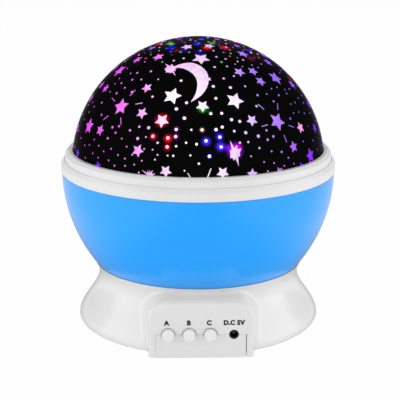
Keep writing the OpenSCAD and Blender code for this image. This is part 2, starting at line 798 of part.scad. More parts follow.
module board_components() {
    chip_x = button_x[1] - 0.4;
    chip_y = board_screw_y - 1.9;
    pin_pitch = chip_l / 4 - 0.05;
    color("black") translate([chip_x, chip_y, board_z - chip_h]) cube([chip_l, chip_w, chip_h]);
    color("silver") for (i = [0:3])
        translate([chip_x + 0.4 + pin_pitch * i, chip_y - 0.6, board_z - 0.5])
            cube([0.5, 0.6 + eps, 0.5]);
    color("royalblue") translate([0.5 - (board_w - capacitor_d) / 2, board_screw_y + 0.1, board_top])
        cylinder(d = capacitor_d, h = capacitor_h);
}

module switch_bodies() {
    color("black") for (x = button_x) difference() {
        translate([x - switch_w / 2, switch_front, board_top])
            cube([switch_w, switch_l, 2 * switch_axis_h]);
        rod_y(x, switch_front - 1, button_z, plunger_d + 2 * running_fit, 2 + button_travel + air);
    }
}

module dc_jack() {
    color([0.08, 0.08, 0.08]) difference() {
        translate([jack_x - jack_w / 2, jack_front, board_top]) cube([jack_w, jack_l, jack_h]);
        rod_y(jack_x, jack_front - 1, button_z, jack_bore_d, jack_depth + 1);
        rod_y(jack_x, jack_front, button_z, jack_root_d + 2 * seat, jack_depth + 1.5);
    }
}

module dc_jack_pin() {
    color("gold") {
        rod_y(jack_x, jack_front + 0.3, button_z, jack_pin_d, jack_depth - 0.3);
        rod_y(jack_x, jack_front + jack_depth, button_z, jack_root_d, 1.4);
    }
}

// ---- Buttons ----

module button(i) {
    color([0.9, 0.9, 0.9]) {
        rod_y(button_x[i], cap_front, button_z, button_d, cap_back - cap_front);
        rod_y(button_x[i], cap_flange_y, button_z, button_d + 1.4, cap_flange_t);
    }
}

module plunger(i) {
    color("black") rod_y(button_x[i], cap_back, button_z, plunger_d, plunger_back - cap_back);
}

module button_a() { button(0); }
module button_b() { button(1); }
module button_c() { button(2); }
module plunger_a() { plunger(0); }
module plunger_b() { plunger(1); }
module plunger_c() { plunger(2); }

// ---- Lamp ----

module column_screw_places() {
    for (a = [0:120:240]) rotate(a) translate([column_screw_r, 0, 0]) children();
}

module lamp_column() {
    color("white") difference() {
        union() {
            translate([0, 0, deck_top]) cylinder(d = column_flange_d, h = column_flange_t);
            translate([0, 0, deck_top]) cylinder(d = column_d, h = column_step_z - deck_top);
            translate([0, 0, column_step_z - eps])
                cylinder(d = column_top_d, h = lamp_z - column_step_z + eps);
        }
        translate([0, 0, deck_top - 1]) cylinder(d = column_bore_d, h = lamp_z - deck_top + 2);
        translate([0, 0, circlip_z - 0.05]) difference() {
            cylinder(d = column_d + 2, h = circlip_t + 0.1);
            translate([0, 0, -1]) cylinder(r = groove_r, h = circlip_t + 3);
        }
        column_screw_places() translate([0, 0, washer_z]) mirror([0, 0, 1])
            flat_screw(column_flange_t + 1, 0.1);
    }
}

module column_screws() {
    color("silver") column_screw_places() translate([0, 0, washer_z]) mirror([0, 0, 1])
        flat_screw(column_flange_t + deck_t + 1.6);
}

module thrust_washer() {
    color("gold") translate([0, 0, washer_z]) difference() {
        cylinder(d = hub_d + 0.8, h = washer_t);
        translate([0, 0, -1]) cylinder(d = column_d + 0.4, h = washer_t + 2);
    }
}

module column_circlip() {
    color("dimgray") translate([0, 0, circlip_z]) difference() {
        cylinder(d = hub_d - 1, h = circlip_t);
        translate([0, 0, -1]) cylinder(r = groove_r + 0.05, h = circlip_t + 2);
        translate([0, -2.5, -1]) cube([hub_d, 5, circlip_t + 2]);
    }
}

module led_holder() {
    sleeve_l = 4;
    color("white") translate([0, 0, lamp_z]) difference() {
        union() {
            cylinder(d = led_board_d + 2.4, h = holder_t + board_t);
            translate([0, 0, -sleeve_l]) cylinder(d = column_top_d + 3, h = sleeve_l + eps);
        }
        translate([0, 0, holder_t]) cylinder(d = led_board_d + 0.1, h = board_t + 1);
        translate([0, 0, -sleeve_l - 1]) cylinder(d = column_top_d + 2 * seat, h = sleeve_l + 1);
        translate([0, 0, -1]) cylinder(d = column_bore_d, h = holder_t + 2);
    }
}

module led_board() {
    color("white") translate([0, 0, lamp_z + holder_t]) cylinder(d = led_board_d, h = board_t);
}

// A light of 5 mm type at the given angle on the lamp board
module led(angle) {
    rotate(angle) translate([led_ring_r, 0, lamp_z + holder_t + board_t]) {
        cylinder(d = led_d + 0.8, h = 1);
        cylinder(d = led_d, h = led_h - led_d / 2);
        translate([0, 0, led_h - led_d / 2]) sphere(d = led_d);
    }
}

module led_white() { color([1, 1, 0.85]) led(45); }
module led_red() { color([1, 0.3, 0.3]) led(135); }
module led_green() { color([0.3, 1, 0.3]) led(225); }
module led_blue() { color([0.3, 0.4, 1]) led(315); }

module led_wires() {
    wire_z = box_top + wire_space / 2;
    pitch = wire_d + 0.1;
    // Each place on the route, and the way in which the five wires lie side by side there
    route = [
        [[12, board_back - 0.9, wire_end_z], [1, 0, 0]],
        [[12, board_back - 0.8, board_top + 3], [1, 0, 0]],
        [[19.5, board_back + 5, wire_z - 0.6], [1, 0, 0]],
        [[21, motor_y, wire_z], [1, 0, 0]],
        [[18, -17, wire_z], [0.87, 0.5, 0]],
        [[5.5, -3.5, wire_z], [0.5, 0.87, 0]],
        [[1, -0.6, deck_z + 0.4], [0.3, 0.8, 0]],
        [[0, 0, deck_top + 4], [0, 0.8, 0]],
        [[0, 0, deck_top + 20], [0, 0.8, 0]],
        [[0, 0, lamp_z + holder_t], [0, 0.8, 0]]
    ];
    color("orange") for (i = [-2:2])
        wire(smooth([for (p = route) p[0] + i * pitch * p[1]], 4), wire_d);
}

base_shell();
base_plate();
base_screws();
rubber_feet();
battery_cells();
battery_springs();
battery_contacts();
battery_wires();
main_board();
board_screws();
board_components();
switch_bodies();
dc_jack();
dc_jack_pin();
gear_motor();
motor_screws();
motor_wires();
lamp_column();
column_screws();
thrust_washer();
column_circlip();
led_holder();
led_board();
led_white();
led_red();
led_green();
led_blue();
led_wires();
bowl();
dome_ring();
star_dome();
turntable();
ring_gear();
turntable_screws();
drive_pinion();
motor_shaft();
button_a();
button_b();
button_c();
plunger_a();
plunger_b();
plunger_c();
battery_door();
door_screw();
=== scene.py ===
"""Star night light projector: the looks of its dome, ring, bowl, base and inner parts.

The frame is in metres, +Z up, with -Y out of the control panel. Sizes written here are in
millimetres and become metres where a mesh is made.
"""

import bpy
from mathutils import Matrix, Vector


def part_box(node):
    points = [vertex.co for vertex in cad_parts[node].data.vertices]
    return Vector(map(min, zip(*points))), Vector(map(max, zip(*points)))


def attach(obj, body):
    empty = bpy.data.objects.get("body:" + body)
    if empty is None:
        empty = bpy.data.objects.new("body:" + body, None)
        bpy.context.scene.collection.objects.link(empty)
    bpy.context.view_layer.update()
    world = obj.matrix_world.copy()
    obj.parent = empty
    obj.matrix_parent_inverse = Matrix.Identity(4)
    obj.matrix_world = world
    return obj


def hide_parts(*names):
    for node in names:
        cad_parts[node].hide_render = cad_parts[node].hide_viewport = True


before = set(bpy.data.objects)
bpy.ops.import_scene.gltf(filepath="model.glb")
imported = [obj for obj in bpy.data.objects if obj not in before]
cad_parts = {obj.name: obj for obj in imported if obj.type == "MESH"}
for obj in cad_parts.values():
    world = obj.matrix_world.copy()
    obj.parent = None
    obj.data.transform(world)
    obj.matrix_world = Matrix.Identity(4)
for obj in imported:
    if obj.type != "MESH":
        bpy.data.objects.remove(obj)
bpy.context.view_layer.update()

import logging
import math
from dataclasses import dataclass, field
from enum import Enum
from typing import Callable, NamedTuple, Union

import bmesh
import bpy
import numpy as np
from mathutils import Matrix, Vector

MM = 0.001
SMOOTH_ANGLE = math.radians(32)
WELD = 1e-7
log = logging.getLogger("night_light")

Point = tuple[float, float]
Colour = tuple[float, float, float]
Piece = bpy.types.Object
Tree = bpy.types.NodeTree
Socket = bpy.types.NodeSocket
Sockets = bpy.types.bpy_prop_collection
Value = Union[Socket, float, tuple]


# ---------------------------------------------------------------- sizes and outlines


def span(node: str) -> tuple[list[float], list[float]]:
    """Gives the lowest and the highest corner of a node of the frame, in millimetres."""
    low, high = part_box(node)
    return [float(v) / MM for v in low], [float(v) / MM for v in high]


def middle(node: str, axis: int) -> float:
    """Gives the middle of a node along an axis, in millimetres."""
    low, high = span(node)
    return (low[axis] + high[axis]) / 2


def linear(red: int, green: int, blue: int) -> Colour:
    """Turns a colour of 0 to 255 a channel, as a screen shows it, into linear values."""
    return tuple(
        v / 12.92 if v <= 0.04045 else ((v + 0.055) / 1.055) ** 2.4
        for v in (red / 255, green / 255, blue / 255)
    )


def arc(x: float, y: float, r: float, start: float, end: float, steps: int) -> list[Point]:
    """Gives points on an arc.

    Args:
        x, y: Its centre.
        r: Its radius.
        start, end: Its first and last angle, in degrees.
        steps: Number of steps between them.

    Returns:
        steps + 1 points.
    """
    angles = np.radians(np.linspace(start, end, steps + 1))
    return [(x + r * math.cos(a), y + r * math.sin(a)) for a in angles]


def rounded(corners: list[tuple], step: float = 12, guard: float = 0.03) -> list[Point]:
    """Rounds the corners of a closed outline.

    Args:
        corners: (x, y) for a sharp corner or a point on a curve, (x, y, radius) for a round one.
        step: Largest turn between two points of a rounding, in degrees.
        guard: Distance of the extra point that keeps the shade of the flat beside a rounding.

    Returns:
        The outline's points.
    """
    points = []
    for i, corner in enumerate(corners):
        here = np.array(corner[:2], float)
        if len(corner) < 3 or corner[2] <= 0:
            points.append(tuple(here))
            continue
        before = np.array(corners[i - 1][:2], float) - here
        after = np.array(corners[(i + 1) % len(corners)][:2], float) - here
        before /= np.linalg.norm(before)
        after /= np.linalg.norm(after)
        angle = math.acos(max(-1.0, min(1.0, float(before @ after))))
        reach = corner[2] / math.tan(angle / 2)
        between = before + after
        centre = here + between / np.linalg.norm(between) * corner[2] / math.sin(angle / 2)
        first = here + before * reach - centre
        turn = math.pi - angle
        side = math.copysign(1, first[1] * before[0] - first[0] * before[1])
        steps = max(2, math.ceil(math.degrees(turn) / step))
        points.append(tuple(here + before * (reach + guard)))
        for k in range(steps + 1):
            a = side * turn * k / steps
            points.append((
                centre[0] + first[0] * math.cos(a) - first[1] * math.sin(a),
                centre[1] + first[0] * math.sin(a) + first[1] * math.cos(a),
            ))
        points.append(tuple(here + after * (reach + guard)))
    return points


def inset(outline: list[Point], amount: float) -> list[Point]:
    """Moves a closed outline, given anticlockwise, inwards by a small amount."""
    points = np.array(outline, float)
    to = np.roll(points, -1, 0) - points
    to /= np.linalg.norm(to, axis=1)[:, None]
    normal = np.stack([-to[:, 1], to[:, 0]], 1)
    both = normal + np.roll(normal, 1, 0)
    both /= np.maximum(0.5, (both * normal).sum(1))[:, None]
    return [tuple(p) for p in points + both * amount]


def smooth_line(places: list[Point], count: int) -> np.ndarray:
    """Runs a smooth curve through a few places.

    Args:
        places: The places it goes through.
        count: Number of points wanted.

    Returns:
        The points, evenly spaced along the curve, as rows.
    """
    p = np.array([places[0], *places, places[-1]], float)
    fine = []
    for i in range(1, len(p) - 2):
        for t in np.linspace(0, 1, 24, endpoint=i == len(p) - 3):
            a, b, c, d = p[i - 1], p[i], p[i + 1], p[i + 2]
            fine.append(b + t * (c - a) / 2 + t * t * (a - 2.5 * b + 2 * c - d / 2)
                        + t ** 3 * (1.5 * b - 1.5 * c + (d - a) / 2))
    fine = np.array(fine)
    along = np.concatenate([[0], np.cumsum(np.linalg.norm(np.diff(fine, axis=0), axis=1))])
    want = np.linspace(0, along[-1], count)
    return np.stack([np.interp(want, along, fine[:, k]) for k in (0, 1)], 1)


# ---------------------------------------------------------------- meshes


def added(name: str, data: bpy.types.ID) -> Piece:
    """Puts a new object with that data in the scene, at the origin."""
    made = bpy.data.objects.new(name, data)
    bpy.context.scene.collection.objects.link(made)
    return made


def welded(mesh: bpy.types.Mesh) -> bpy.types.Mesh:
    """Joins corners of a mesh that fall together, and turns its faces outwards."""
    shape = bmesh.new()
    shape.from_mesh(mesh)
    bmesh.ops.remove_doubles(shape, verts=shape.verts, dist=WELD)
    bmesh.ops.recalc_face_normals(shape, faces=shape.faces)
    shape.to_mesh(mesh)
    shape.free()
    return mesh


def shade(piece: Piece) -> Piece:
    """Shades a piece smooth, with its true edges kept sharp, and gives it."""
    piece.data.shade_smooth()
    piece.data.set_sharp_from_angle(angle=SMOOTH_ANGLE)
    return piece


def solid(name: str, points: np.ndarray | list, faces: list) -> Piece:
    """Makes a closed, smooth-shaded object.

    Args:
        name: The piece's name.
        points: Its corners, in millimetres.
        faces: Its faces, as lists of corner numbers.

    Returns:
        The object, at the origin, with its faces pointing outwards.
    """
    mesh = bpy.data.meshes.new(name)
    mesh.from_pydata([tuple(v * MM for v in p) for p in points], [], faces)
    return shade(added(name, welded(mesh)))


def turned(name: str, outline: list[Point], segments: int = 192) -> Piece:
    """Turns a closed outline round the Z axis.

    Args:
        name: The piece's name.
        outline: Its points as (radius, height), in millimetres.
        segments: Number of steps round the axis.

    Returns:
        The turned solid.
    """
    angles = np.linspace(0, 2 * math.pi, segments, endpoint=False)
    points, rows = [], []
    for r, z in outline:
        if r < 1e-6:
            rows.append([len(points)] * segments)
            points.append((0, 0, z))
        else:
            rows.append(list(range(len(points), len(points) + segments)))
            points += [(r * math.cos(a), r * math.sin(a), z) for a in angles]
    faces = []
    for low, high in zip(rows, rows[1:] + rows[:1]):
        for k in range(segments):
            n = (k + 1) % segments
            face = list(dict.fromkeys([low[k], low[n], high[n], high[k]]))
            if len(face) > 2:
                faces.append(face)
    return solid(name, points, faces)


def slab(name: str, outline: list[Point], low: float, high: float, edges: Point, steps: int = 3) -> Piece:
    """Raises a flat outline to a plate whose two rims are rounded.

    Args:
        name: The piece's name.
        outline: Its points, anticlockwise, in millimetres.
        low, high: Its lowest and highest level.
        edges: Radius of the lower and of the upper rim.
        steps: Steps of each rounding.

    Returns:
        The plate, standing in the XY plane.
    """
    rows = []
    for level, radius, way in ((low, edges[0], 1), (high, edges[1], -1)):
        turns = np.radians(np.linspace(0, 90, steps + 1)) if radius > 0 else [math.pi / 2]
        ring = [(radius * (1 - math.sin(a)), level + way * radius * (1 - math.cos(a))) for a in turns]
        rows += ring if way > 0 else ring[::-1]
    points, faces, n = [], [], len(outline)
    for inwards, z in rows:
        points += [(x, y, z) for x, y in inset(outline, inwards)]
    for k in range(len(rows) - 1):
        for i in range(n):
            j = (i + 1) % n
            faces.append([k * n + i, k * n + j, (k + 1) * n + j, (k + 1) * n + i])
    faces += [list(range(n))[::-1], list(range((len(rows) - 1) * n, len(rows) * n))]
    return solid(name, points, faces)


def placed(piece: Piece, move: Matrix) -> Piece:
    """Moves a piece's mesh, in metres, and leaves its object at the origin."""
    piece.data.transform(move)
    piece.data.update()
    return piece


def moved(x: float = 0, y: float = 0, z: float = 0) -> Matrix:
    """Gives the move by (x, y, z) millimetres."""
    return Matrix.Translation(Vector((x, y, z)) * MM)


def facing_front(x: float, y: float, z: float) -> Matrix:
    """Turns a piece's +Z to -Y and moves its origin to (x, y, z) millimetres."""
    return moved(x, y, z) @ Matrix.Rotation(math.radians(90), 4, "X")


def bake(piece: Piece) -> Piece:
    """Turns a piece's live modifiers into its plain mesh."""
    graph = bpy.context.evaluated_depsgraph_get()
    mesh = bpy.data.meshes.new_from_object(
        piece.evaluated_get(graph), preserve_all_data_layers=True, depsgraph=graph)
    piece.modifiers.clear()
    piece.data = mesh
    mesh.name = piece.name
    return piece


def cut(piece: Piece, cutters: list[Piece]) -> Piece:
    """Cuts closed shapes out of a piece and throws the cutters away.

    Args:
        piece: The closed piece.
        cutters: What is cut out of it.

    Returns:
        The piece.
    """
    for cutter in cutters:
        step = piece.modifiers.new(cutter.name, "BOOLEAN")
        step.operation, step.solver, step.object = "DIFFERENCE", "EXACT", cutter
    bake(piece)
    for cutter in cutters:
        bpy.data.objects.remove(cutter)
    return shade(piece)


def joined(name: str, parts: list[Piece]) -> Piece:
    """Joins separate closed shapes into one piece of that name."""
    shape = bmesh.new()
    finish = [material for material in parts[0].data.materials if material]
    for part in parts:
        shape.from_mesh(part.data)
        bpy.data.objects.remove(part)
    mesh = bpy.data.meshes.new(name)
    shape.to_mesh(mesh)
    shape.free()
    for material in finish:
        mesh.materials.append(material)
    return shade(added(name, mesh))


def block(name: str, low: tuple, high: tuple, corner: float = 0, edge: float = 0) -> Piece:
    """Makes a block between two corners, with upright corners and rims of those radii."""
    outline = rounded([
        (low[0], low[1], corner), (high[0], low[1], corner),
        (high[0], high[1], corner), (low[0], high[1], corner)])
    return slab(name, outline, low[2], high[2], (edge, edge))


def drill(radius: float, depth: float, chamfer: float = 0.0) -> Piece:
    """Makes a cutter for a round hole that goes down from z = 0, with a chamfered mouth."""
    return turned("drill", [
        (0, -depth), (radius, -depth), (radius, -chamfer), (radius + chamfer, 0),
        (radius + chamfer, 0.6), (0, 0.6)], 48)


def run_tree(piece: Piece, tree: Tree, values: dict) -> Piece:
    """Runs a Geometry Nodes tree on a piece and bakes what it makes.

    Args:
        piece: The piece, which holds the points.
        tree: The tree.
        values: Values for its inputs, by name.

    Returns:
        The piece, as a plain mesh.
    """
    step = piece.modifiers.new(tree.name, "NODES")
    step.node_group = tree
    for socket in tree.interface.items_tree:
        if socket.name in values:
            step[socket.identifier] = values[socket.name]
    return shade(bake(piece))


# ---------------------------------------------------------------- node trees


def place(tree: Tree, kind: str, inputs: dict | None = None, **settings) -> bpy.types.Node:
    """Adds a node to a tree.

    Args:
        tree: The tree.
        kind: The node's type.
        inputs: Values or sockets for its inputs, by name or number.
        settings: Values for its own properties.

    Returns:
        The node.
    """
    made = tree.nodes.new(kind)
    for name, value in settings.items():
        setattr(made, name, value)
    feed(tree, made, inputs or {})
    return made


def geometry(tree: Tree, kind: str, inputs: dict, **settings) -> Socket:
    """Adds a Geometry Nodes step and gives its first output."""
    return place(tree, "GeometryNode" + kind, inputs, **settings).outputs[0]


def feed(tree: Tree, node: bpy.types.Node, inputs: dict) -> None:
    """Gives a node's inputs, by name or number, their values or the sockets that lead to them."""
    for key, value in inputs.items():
        if isinstance(value, Socket):
            tree.links.new(value, node.inputs[key])
        else:
            node.inputs[key].default_value = value


def blended(tree: Tree, how: str, factor: Value, a: Value, b: Value) -> Socket:
    """Adds a colour Mix node and gives its result."""
    return place(tree, "ShaderNodeMix", {0: factor, 6: a, 7: b},
                 data_type="RGBA", blend_type=how).outputs[2]


def sums(tree: Tree, how: str, a: Value, b: Value = 0.0, clamp: bool = False) -> Socket:
    """Adds a Math node and gives its result."""
    return place(tree, "ShaderNodeMath", {0: a, 1: b}, operation=how, use_clamp=clamp).outputs[0]


def mapped(tree: Tree, value: Value, start: float, end: float, low: float = 0.0,
           high: float = 1.0, how: str = "LINEAR") -> Socket:
    """Adds a Map Range node that turns start to end into low to high, and gives its result."""
    return place(tree, "ShaderNodeMapRange", {
        "Value": value, "From Min": start, "From Max": end, "To Min": low, "To Max": high},
        interpolation_type=how).outputs[0]


def bumped(tree: Tree, height: Value, strength: float, depth: float) -> Socket:
    """Adds a Bump node of that strength, and depth in millimetres, and gives its result."""
    return place(tree, "ShaderNodeBump", {
        "Height": height, "Strength": strength, "Distance": depth * MM}).outputs[0]


def axes(tree: Tree, which: str) -> Sockets:
    """Gives the x, y and z of a texture coordinate, such as Object."""
    where = tree.nodes.new("ShaderNodeTexCoord").outputs[which]
    return place(tree, "ShaderNodeSeparateXYZ", {0: where}).outputs


def rays(tree: Tree, kind: str, other: str = "") -> Socket:
    """Gives 1 for rays of that kind or of the other, such as Camera, and 0 for the rest."""
    path = tree.nodes.new("ShaderNodeLightPath").outputs
    one = path[f"Is {kind} Ray"]
    return sums(tree, "MAXIMUM", one, path[f"Is {other} Ray"]) if other else one


def new_group(name: str, inputs: dict, outputs: dict[str, str], what: str = "ShaderNodeTree") -> tuple:
    """Starts a node group.

    Args:
        name: The group's name.
        inputs: Kind of socket, or kind and default value, by name.
        outputs: Kind of socket by name.
        what: The kind of tree.

    Returns:
        The group, its inputs' sockets and its output node.
    """
    group = bpy.data.node_groups.new(name, what)
    for label, kind in inputs.items():
        kind, *value = kind if isinstance(kind, tuple) else (kind,)
        socket = group.interface.new_socket(label, in_out="INPUT", socket_type="NodeSocket" + kind)
        if value:
            socket.default_value = value[0]
    for label, kind in outputs.items():
        group.interface.new_socket(label, in_out="OUTPUT", socket_type="NodeSocket" + kind)
    return group, group.nodes.new("NodeGroupInput").outputs, group.nodes.new("NodeGroupOutput")


def moulded_grain() -> Tree:
    """Gives the group for moulded surfaces: a fine grain, and broad, faint clouds of tone."""
    if "moulded_grain" in bpy.data.node_groups:
        return bpy.data.node_groups["moulded_grain"]
    group, given, result = new_group(
        "moulded_grain",
        {"Place": "Vector", "Grain": ("Float", 4000.0), "Patch": ("Float", 60.0), "Spread": ("Float", 0.03)},
        {"Height": "Float", "Tone": "Float", "Wear": "Float"})
    fine = place(group, "ShaderNodeTexNoise", {
        "Vector": given["Place"], "Scale": given["Grain"], "Detail": 2.0}).outputs[0]
    broad = place(group, "ShaderNodeTexNoise", {
        "Vector": given["Place"], "Scale": given["Patch"], "Detail": 3.0}).outputs[0]
    swing = sums(group, "MULTIPLY", sums(group, "SUBTRACT", broad, 0.5), given["Spread"])
    tone = sums(group, "ADD", 1.0, sums(group, "MULTIPLY", swing, 3.0))
    feed(group, result, {"Height": fine, "Tone": tone, "Wear": broad})
    return group


def glow_spot() -> Tree:
    """Gives the group for a soft ball of light round a place, added to the glow so far."""
    if "glow_spot" in bpy.data.node_groups:
        return bpy.data.node_groups["glow_spot"]
    group, given, result = new_group(
        "glow_spot",
        {"Place": "Vector", "Centre": "Vector", "Reach": ("Float", 0.004), "Colour": "Color",
         "So far": "Color"}, {"Glow": "Color"})
    gap = place(group, "ShaderNodeVectorMath", {
        0: given["Place"], 1: given["Centre"]}, operation="DISTANCE").outputs["Value"]
    near = sums(group, "SUBTRACT", 1.0, sums(group, "DIVIDE", gap, given["Reach"]), clamp=True)
    mask = sums(group, "POWER", near, 2.2)
    feed(group, result, {"Glow": blended(group, "ADD", mask, given["So far"], given["Colour"])})
    return group


def grained(tree: Tree, where: Socket, **amounts: float) -> Sockets:
    """Adds the moulded grain there, with amounts such as Grain or Spread, and gives its outputs."""
    return place(tree, "ShaderNodeGroup", {"Place": where, **amounts}, node_tree=moulded_grain()).outputs


def lit(tree: Tree, where: Socket, spots: list, glow: Value) -> Socket:
    """Adds soft balls of light to a glow.

    Args:
        tree: The material's tree.
        where: The place on the piece.
        spots: Centre in metres, reach in millimetres and colour of each.
        glow: The colour, or socket, that they are added to.

    Returns:
        The glow with all of them.
    """
    for centre, reach, colour in spots:
        glow = place(tree, "ShaderNodeGroup", {
            "Place": where, "Centre": centre, "Reach": reach * MM, "Colour": (*colour, 1),
            "So far": glow}, node_tree=glow_spot()).outputs["Glow"]
    return glow


class Canvas(NamedTuple):
    """A new material, its tree, its shader and the place on the piece."""

    material: bpy.types.Material
    tree: Tree
    shader: bpy.types.Node
    where: Socket


def cleared(owner: bpy.types.ID) -> Tree:
    """Turns on the nodes of a material or a world, and gives its emptied tree."""
    owner.use_nodes = True
    owner.node_tree.nodes.clear()
    return owner.node_tree


def started(name: str) -> Canvas:
    """Starts a material with its shader."""
    made = bpy.data.materials.new(name)
    tree = cleared(made)
    shader = tree.nodes.new("ShaderNodeBsdfPrincipled")
    place(tree, "ShaderNodeOutputMaterial", {"Surface": shader.outputs["BSDF"]})
    return Canvas(made, tree, shader, place(tree, "ShaderNodeTexCoord").outputs["Object"])


@dataclass(frozen=True)
class Finish:
    """What a piece is made of."""

    name: str

    def material(self) -> bpy.types.Material:
        """Builds the material once, and gives it."""
        if self.name not in bpy.data.materials:
            self.paint(started(self.name))
        return bpy.data.materials[self.name]

    def paint(self, on: Canvas) -> None:
        """Links the new material's nodes: each kind of finish has its own."""
        raise NotImplementedError

    def dress(self, piece: Piece) -> None:
        """Gives a piece this finish alone."""
        piece.data.materials.clear()
        piece.data.materials.append(self.material())


@dataclass(frozen=True)
class Plastic(Finish):
    """A moulded plastic, rubber or lacquer: colour with faint clouds, and a fine grain."""

    colour: Colour
    roughness: float = 0.35
    coat: float = 0.0
    coat_roughness: float = 0.1
    grain: float = 2500.0
    relief: float = 0.02
    spread: float = 0.03
    bounce: float = 0.0

    def paint(self, on: Canvas) -> None:
        """Links the grain, and for a bouncing finish a pale colour that only other pieces see."""
        made, tree, shader, where = on
        grain = grained(tree, where, Grain=self.grain, Spread=self.spread)
        tone = blended(tree, "MULTIPLY", 1.0, (*self.colour, 1), grain["Tone"])
        if self.bounce:
            share = sums(tree, "MULTIPLY", rays(tree, "Diffuse", "Glossy"), self.bounce)
            tone = blended(tree, "MIX", share, tone, (0.8, 0.8, 0.8, 1))
        feed(tree, shader, {
            "Base Color": tone, "Normal": bumped(tree, grain["Height"], 0.5, self.relief),
            "Roughness": mapped(tree, grain["Wear"], 0, 1, self.roughness * 0.9, self.roughness * 1.1),
            "Coat Weight": self.coat, "Coat Roughness": self.coat_roughness})
        made.diffuse_color = (*self.colour, 1)


@dataclass(frozen=True)
class Metal(Finish):
    """A plated or brushed metal."""

    colour: Colour
    roughness: float = 0.3
    brushed: float = 6000.0

    def paint(self, on: Canvas) -> None:
        """Links a grain that is drawn out one way."""
        made, tree, shader, where = on
        drawn = place(tree, "ShaderNodeMapping", {"Vector": where, "Scale": (1.0, 0.12, 1.0)}).outputs[0]
        grain = grained(tree, drawn, Grain=self.brushed, Patch=240.0, Spread=0.08)
        feed(tree, shader, {
            "Base Color": blended(tree, "MULTIPLY", 1.0, (*self.colour, 1), grain["Tone"]), "Metallic": 1.0,
            "Roughness": mapped(tree, grain["Height"], 0, 1, self.roughness * 0.7, self.roughness * 1.3)})
        made.diffuse_color = (*self.colour, 1)


@dataclass(frozen=True)
class CircuitBoard(Finish):
    """A solder mask over faint copper tracks."""

    mask: Colour
    track: Colour
    pitch: float = 2.54

    def paint(self, on: Canvas) -> None:
        """Links the tracks' pattern and its relief."""
        _, tree, shader, where = on
        lanes = place(tree, "ShaderNodeTexBrick", {
            "Vector": where, "Scale": 1.0 / (self.pitch * MM), "Mortar Size": 0.09,
            "Color1": (*self.mask, 1), "Color2": (*[v * 0.92 for v in self.mask], 1),
            "Mortar": (*self.track, 1)}, squash=0.6, offset=0.35).outputs
        tone = blended(tree, "MULTIPLY", 1.0, lanes["Color"], grained(tree, where)["Tone"])
        feed(tree, shader, {
            "Base Color": tone, "Normal": bumped(tree, lanes["Fac"], 0.4, 0.03), "Roughness": 0.3})


@dataclass(frozen=True)
class Epoxy(Finish):
    """A light's clear or tinted epoxy, with a faint glow of its own."""

    colour: Colour
    glow: float = 0.6

    def paint(self, on: Canvas) -> None:
        """Links the epoxy's colour and the glow."""
        _, tree, shader, where = on
        tone = blended(tree, "MULTIPLY", 1.0, (*self.colour, 1), grained(tree, where)["Tone"])
        feed(tree, shader, {
            "Base Color": tone, "Emission Color": tone, "Emission Strength": self.glow,
            "Transmission Weight": 0.6, "Roughness": 0.15})


# ---------------------------------------------------------------- finishes of this lamp

WHITE = Plastic("white_shell", (0.73, 0.73, 0.73), roughness=0.24, coat=0.3, coat_roughness=0.12,
                relief=0.006, spread=0.004)
WHITE_RING = Plastic("white_ring", (0.72, 0.72, 0.72), roughness=0.38, grain=3500, relief=0.01, spread=0.004)
WHITE_COVER = Plastic("white_lid", (0.71, 0.71, 0.71), roughness=0.4, grain=1800, relief=0.02, spread=0.006)
WHITE_CAP = Plastic("white_button", (0.76, 0.76, 0.76), roughness=0.3, relief=0.006, spread=0.004)
BLUE = Plastic("blue_bowl", linear(8, 160, 254), roughness=0.25, coat=0.35, coat_roughness=0.15,
               grain=1200, relief=0.004, spread=0.006, bounce=1.0)
INK = Plastic("black_ink", (0.012, 0.012, 0.012), roughness=0.5, spread=0.02)
RUBBER = Plastic("soft_rubber", (0.035, 0.035, 0.035), roughness=0.8, grain=1500, relief=0.08, spread=0.08)
BLACK = Plastic("black_nylon", (0.015, 0.015, 0.015), roughness=0.45, grain=1800, relief=0.04)
INNER = Plastic("inner_shell", (0.74, 0.74, 0.73), roughness=0.5, spread=0.02)
NYLON = Plastic("gear_acetal", (0.80, 0.77, 0.66), roughness=0.42, spread=0.03)
CELL = Plastic("cell_sleeve", (0.02, 0.2, 0.1), roughness=0.25, coat=0.5, spread=0.04)
VINYL = Plastic("wire_vinyl", (0.55, 0.05, 0.03), roughness=0.4, spread=0.05)
ZINC = Metal("zinc_screw", (0.62, 0.62, 0.60), roughness=0.32)
NICKEL = Metal("nickel_contact", (0.75, 0.73, 0.69), roughness=0.2)
CAN = Metal("motor_can", (0.56, 0.56, 0.56), roughness=0.35)
BRASS = Metal("plated_brass", (0.80, 0.64, 0.32), roughness=0.25)
BLACKENED = Metal("spring_steel", (0.14, 0.14, 0.15), roughness=0.4)
GREEN_BOARD = CircuitBoard("green_board", (0.01, 0.13, 0.045), (0.02, 0.24, 0.08))
WHITE_BOARD = CircuitBoard("white_board", (0.78, 0.78, 0.76), (0.62, 0.62, 0.58))


@dataclass(frozen=True)
class Halo:
    """A light behind the dome that shines round a star: place, reach in millimetres, colour."""

    lon: float
    lat: float
    reach: float
    colour: Colour


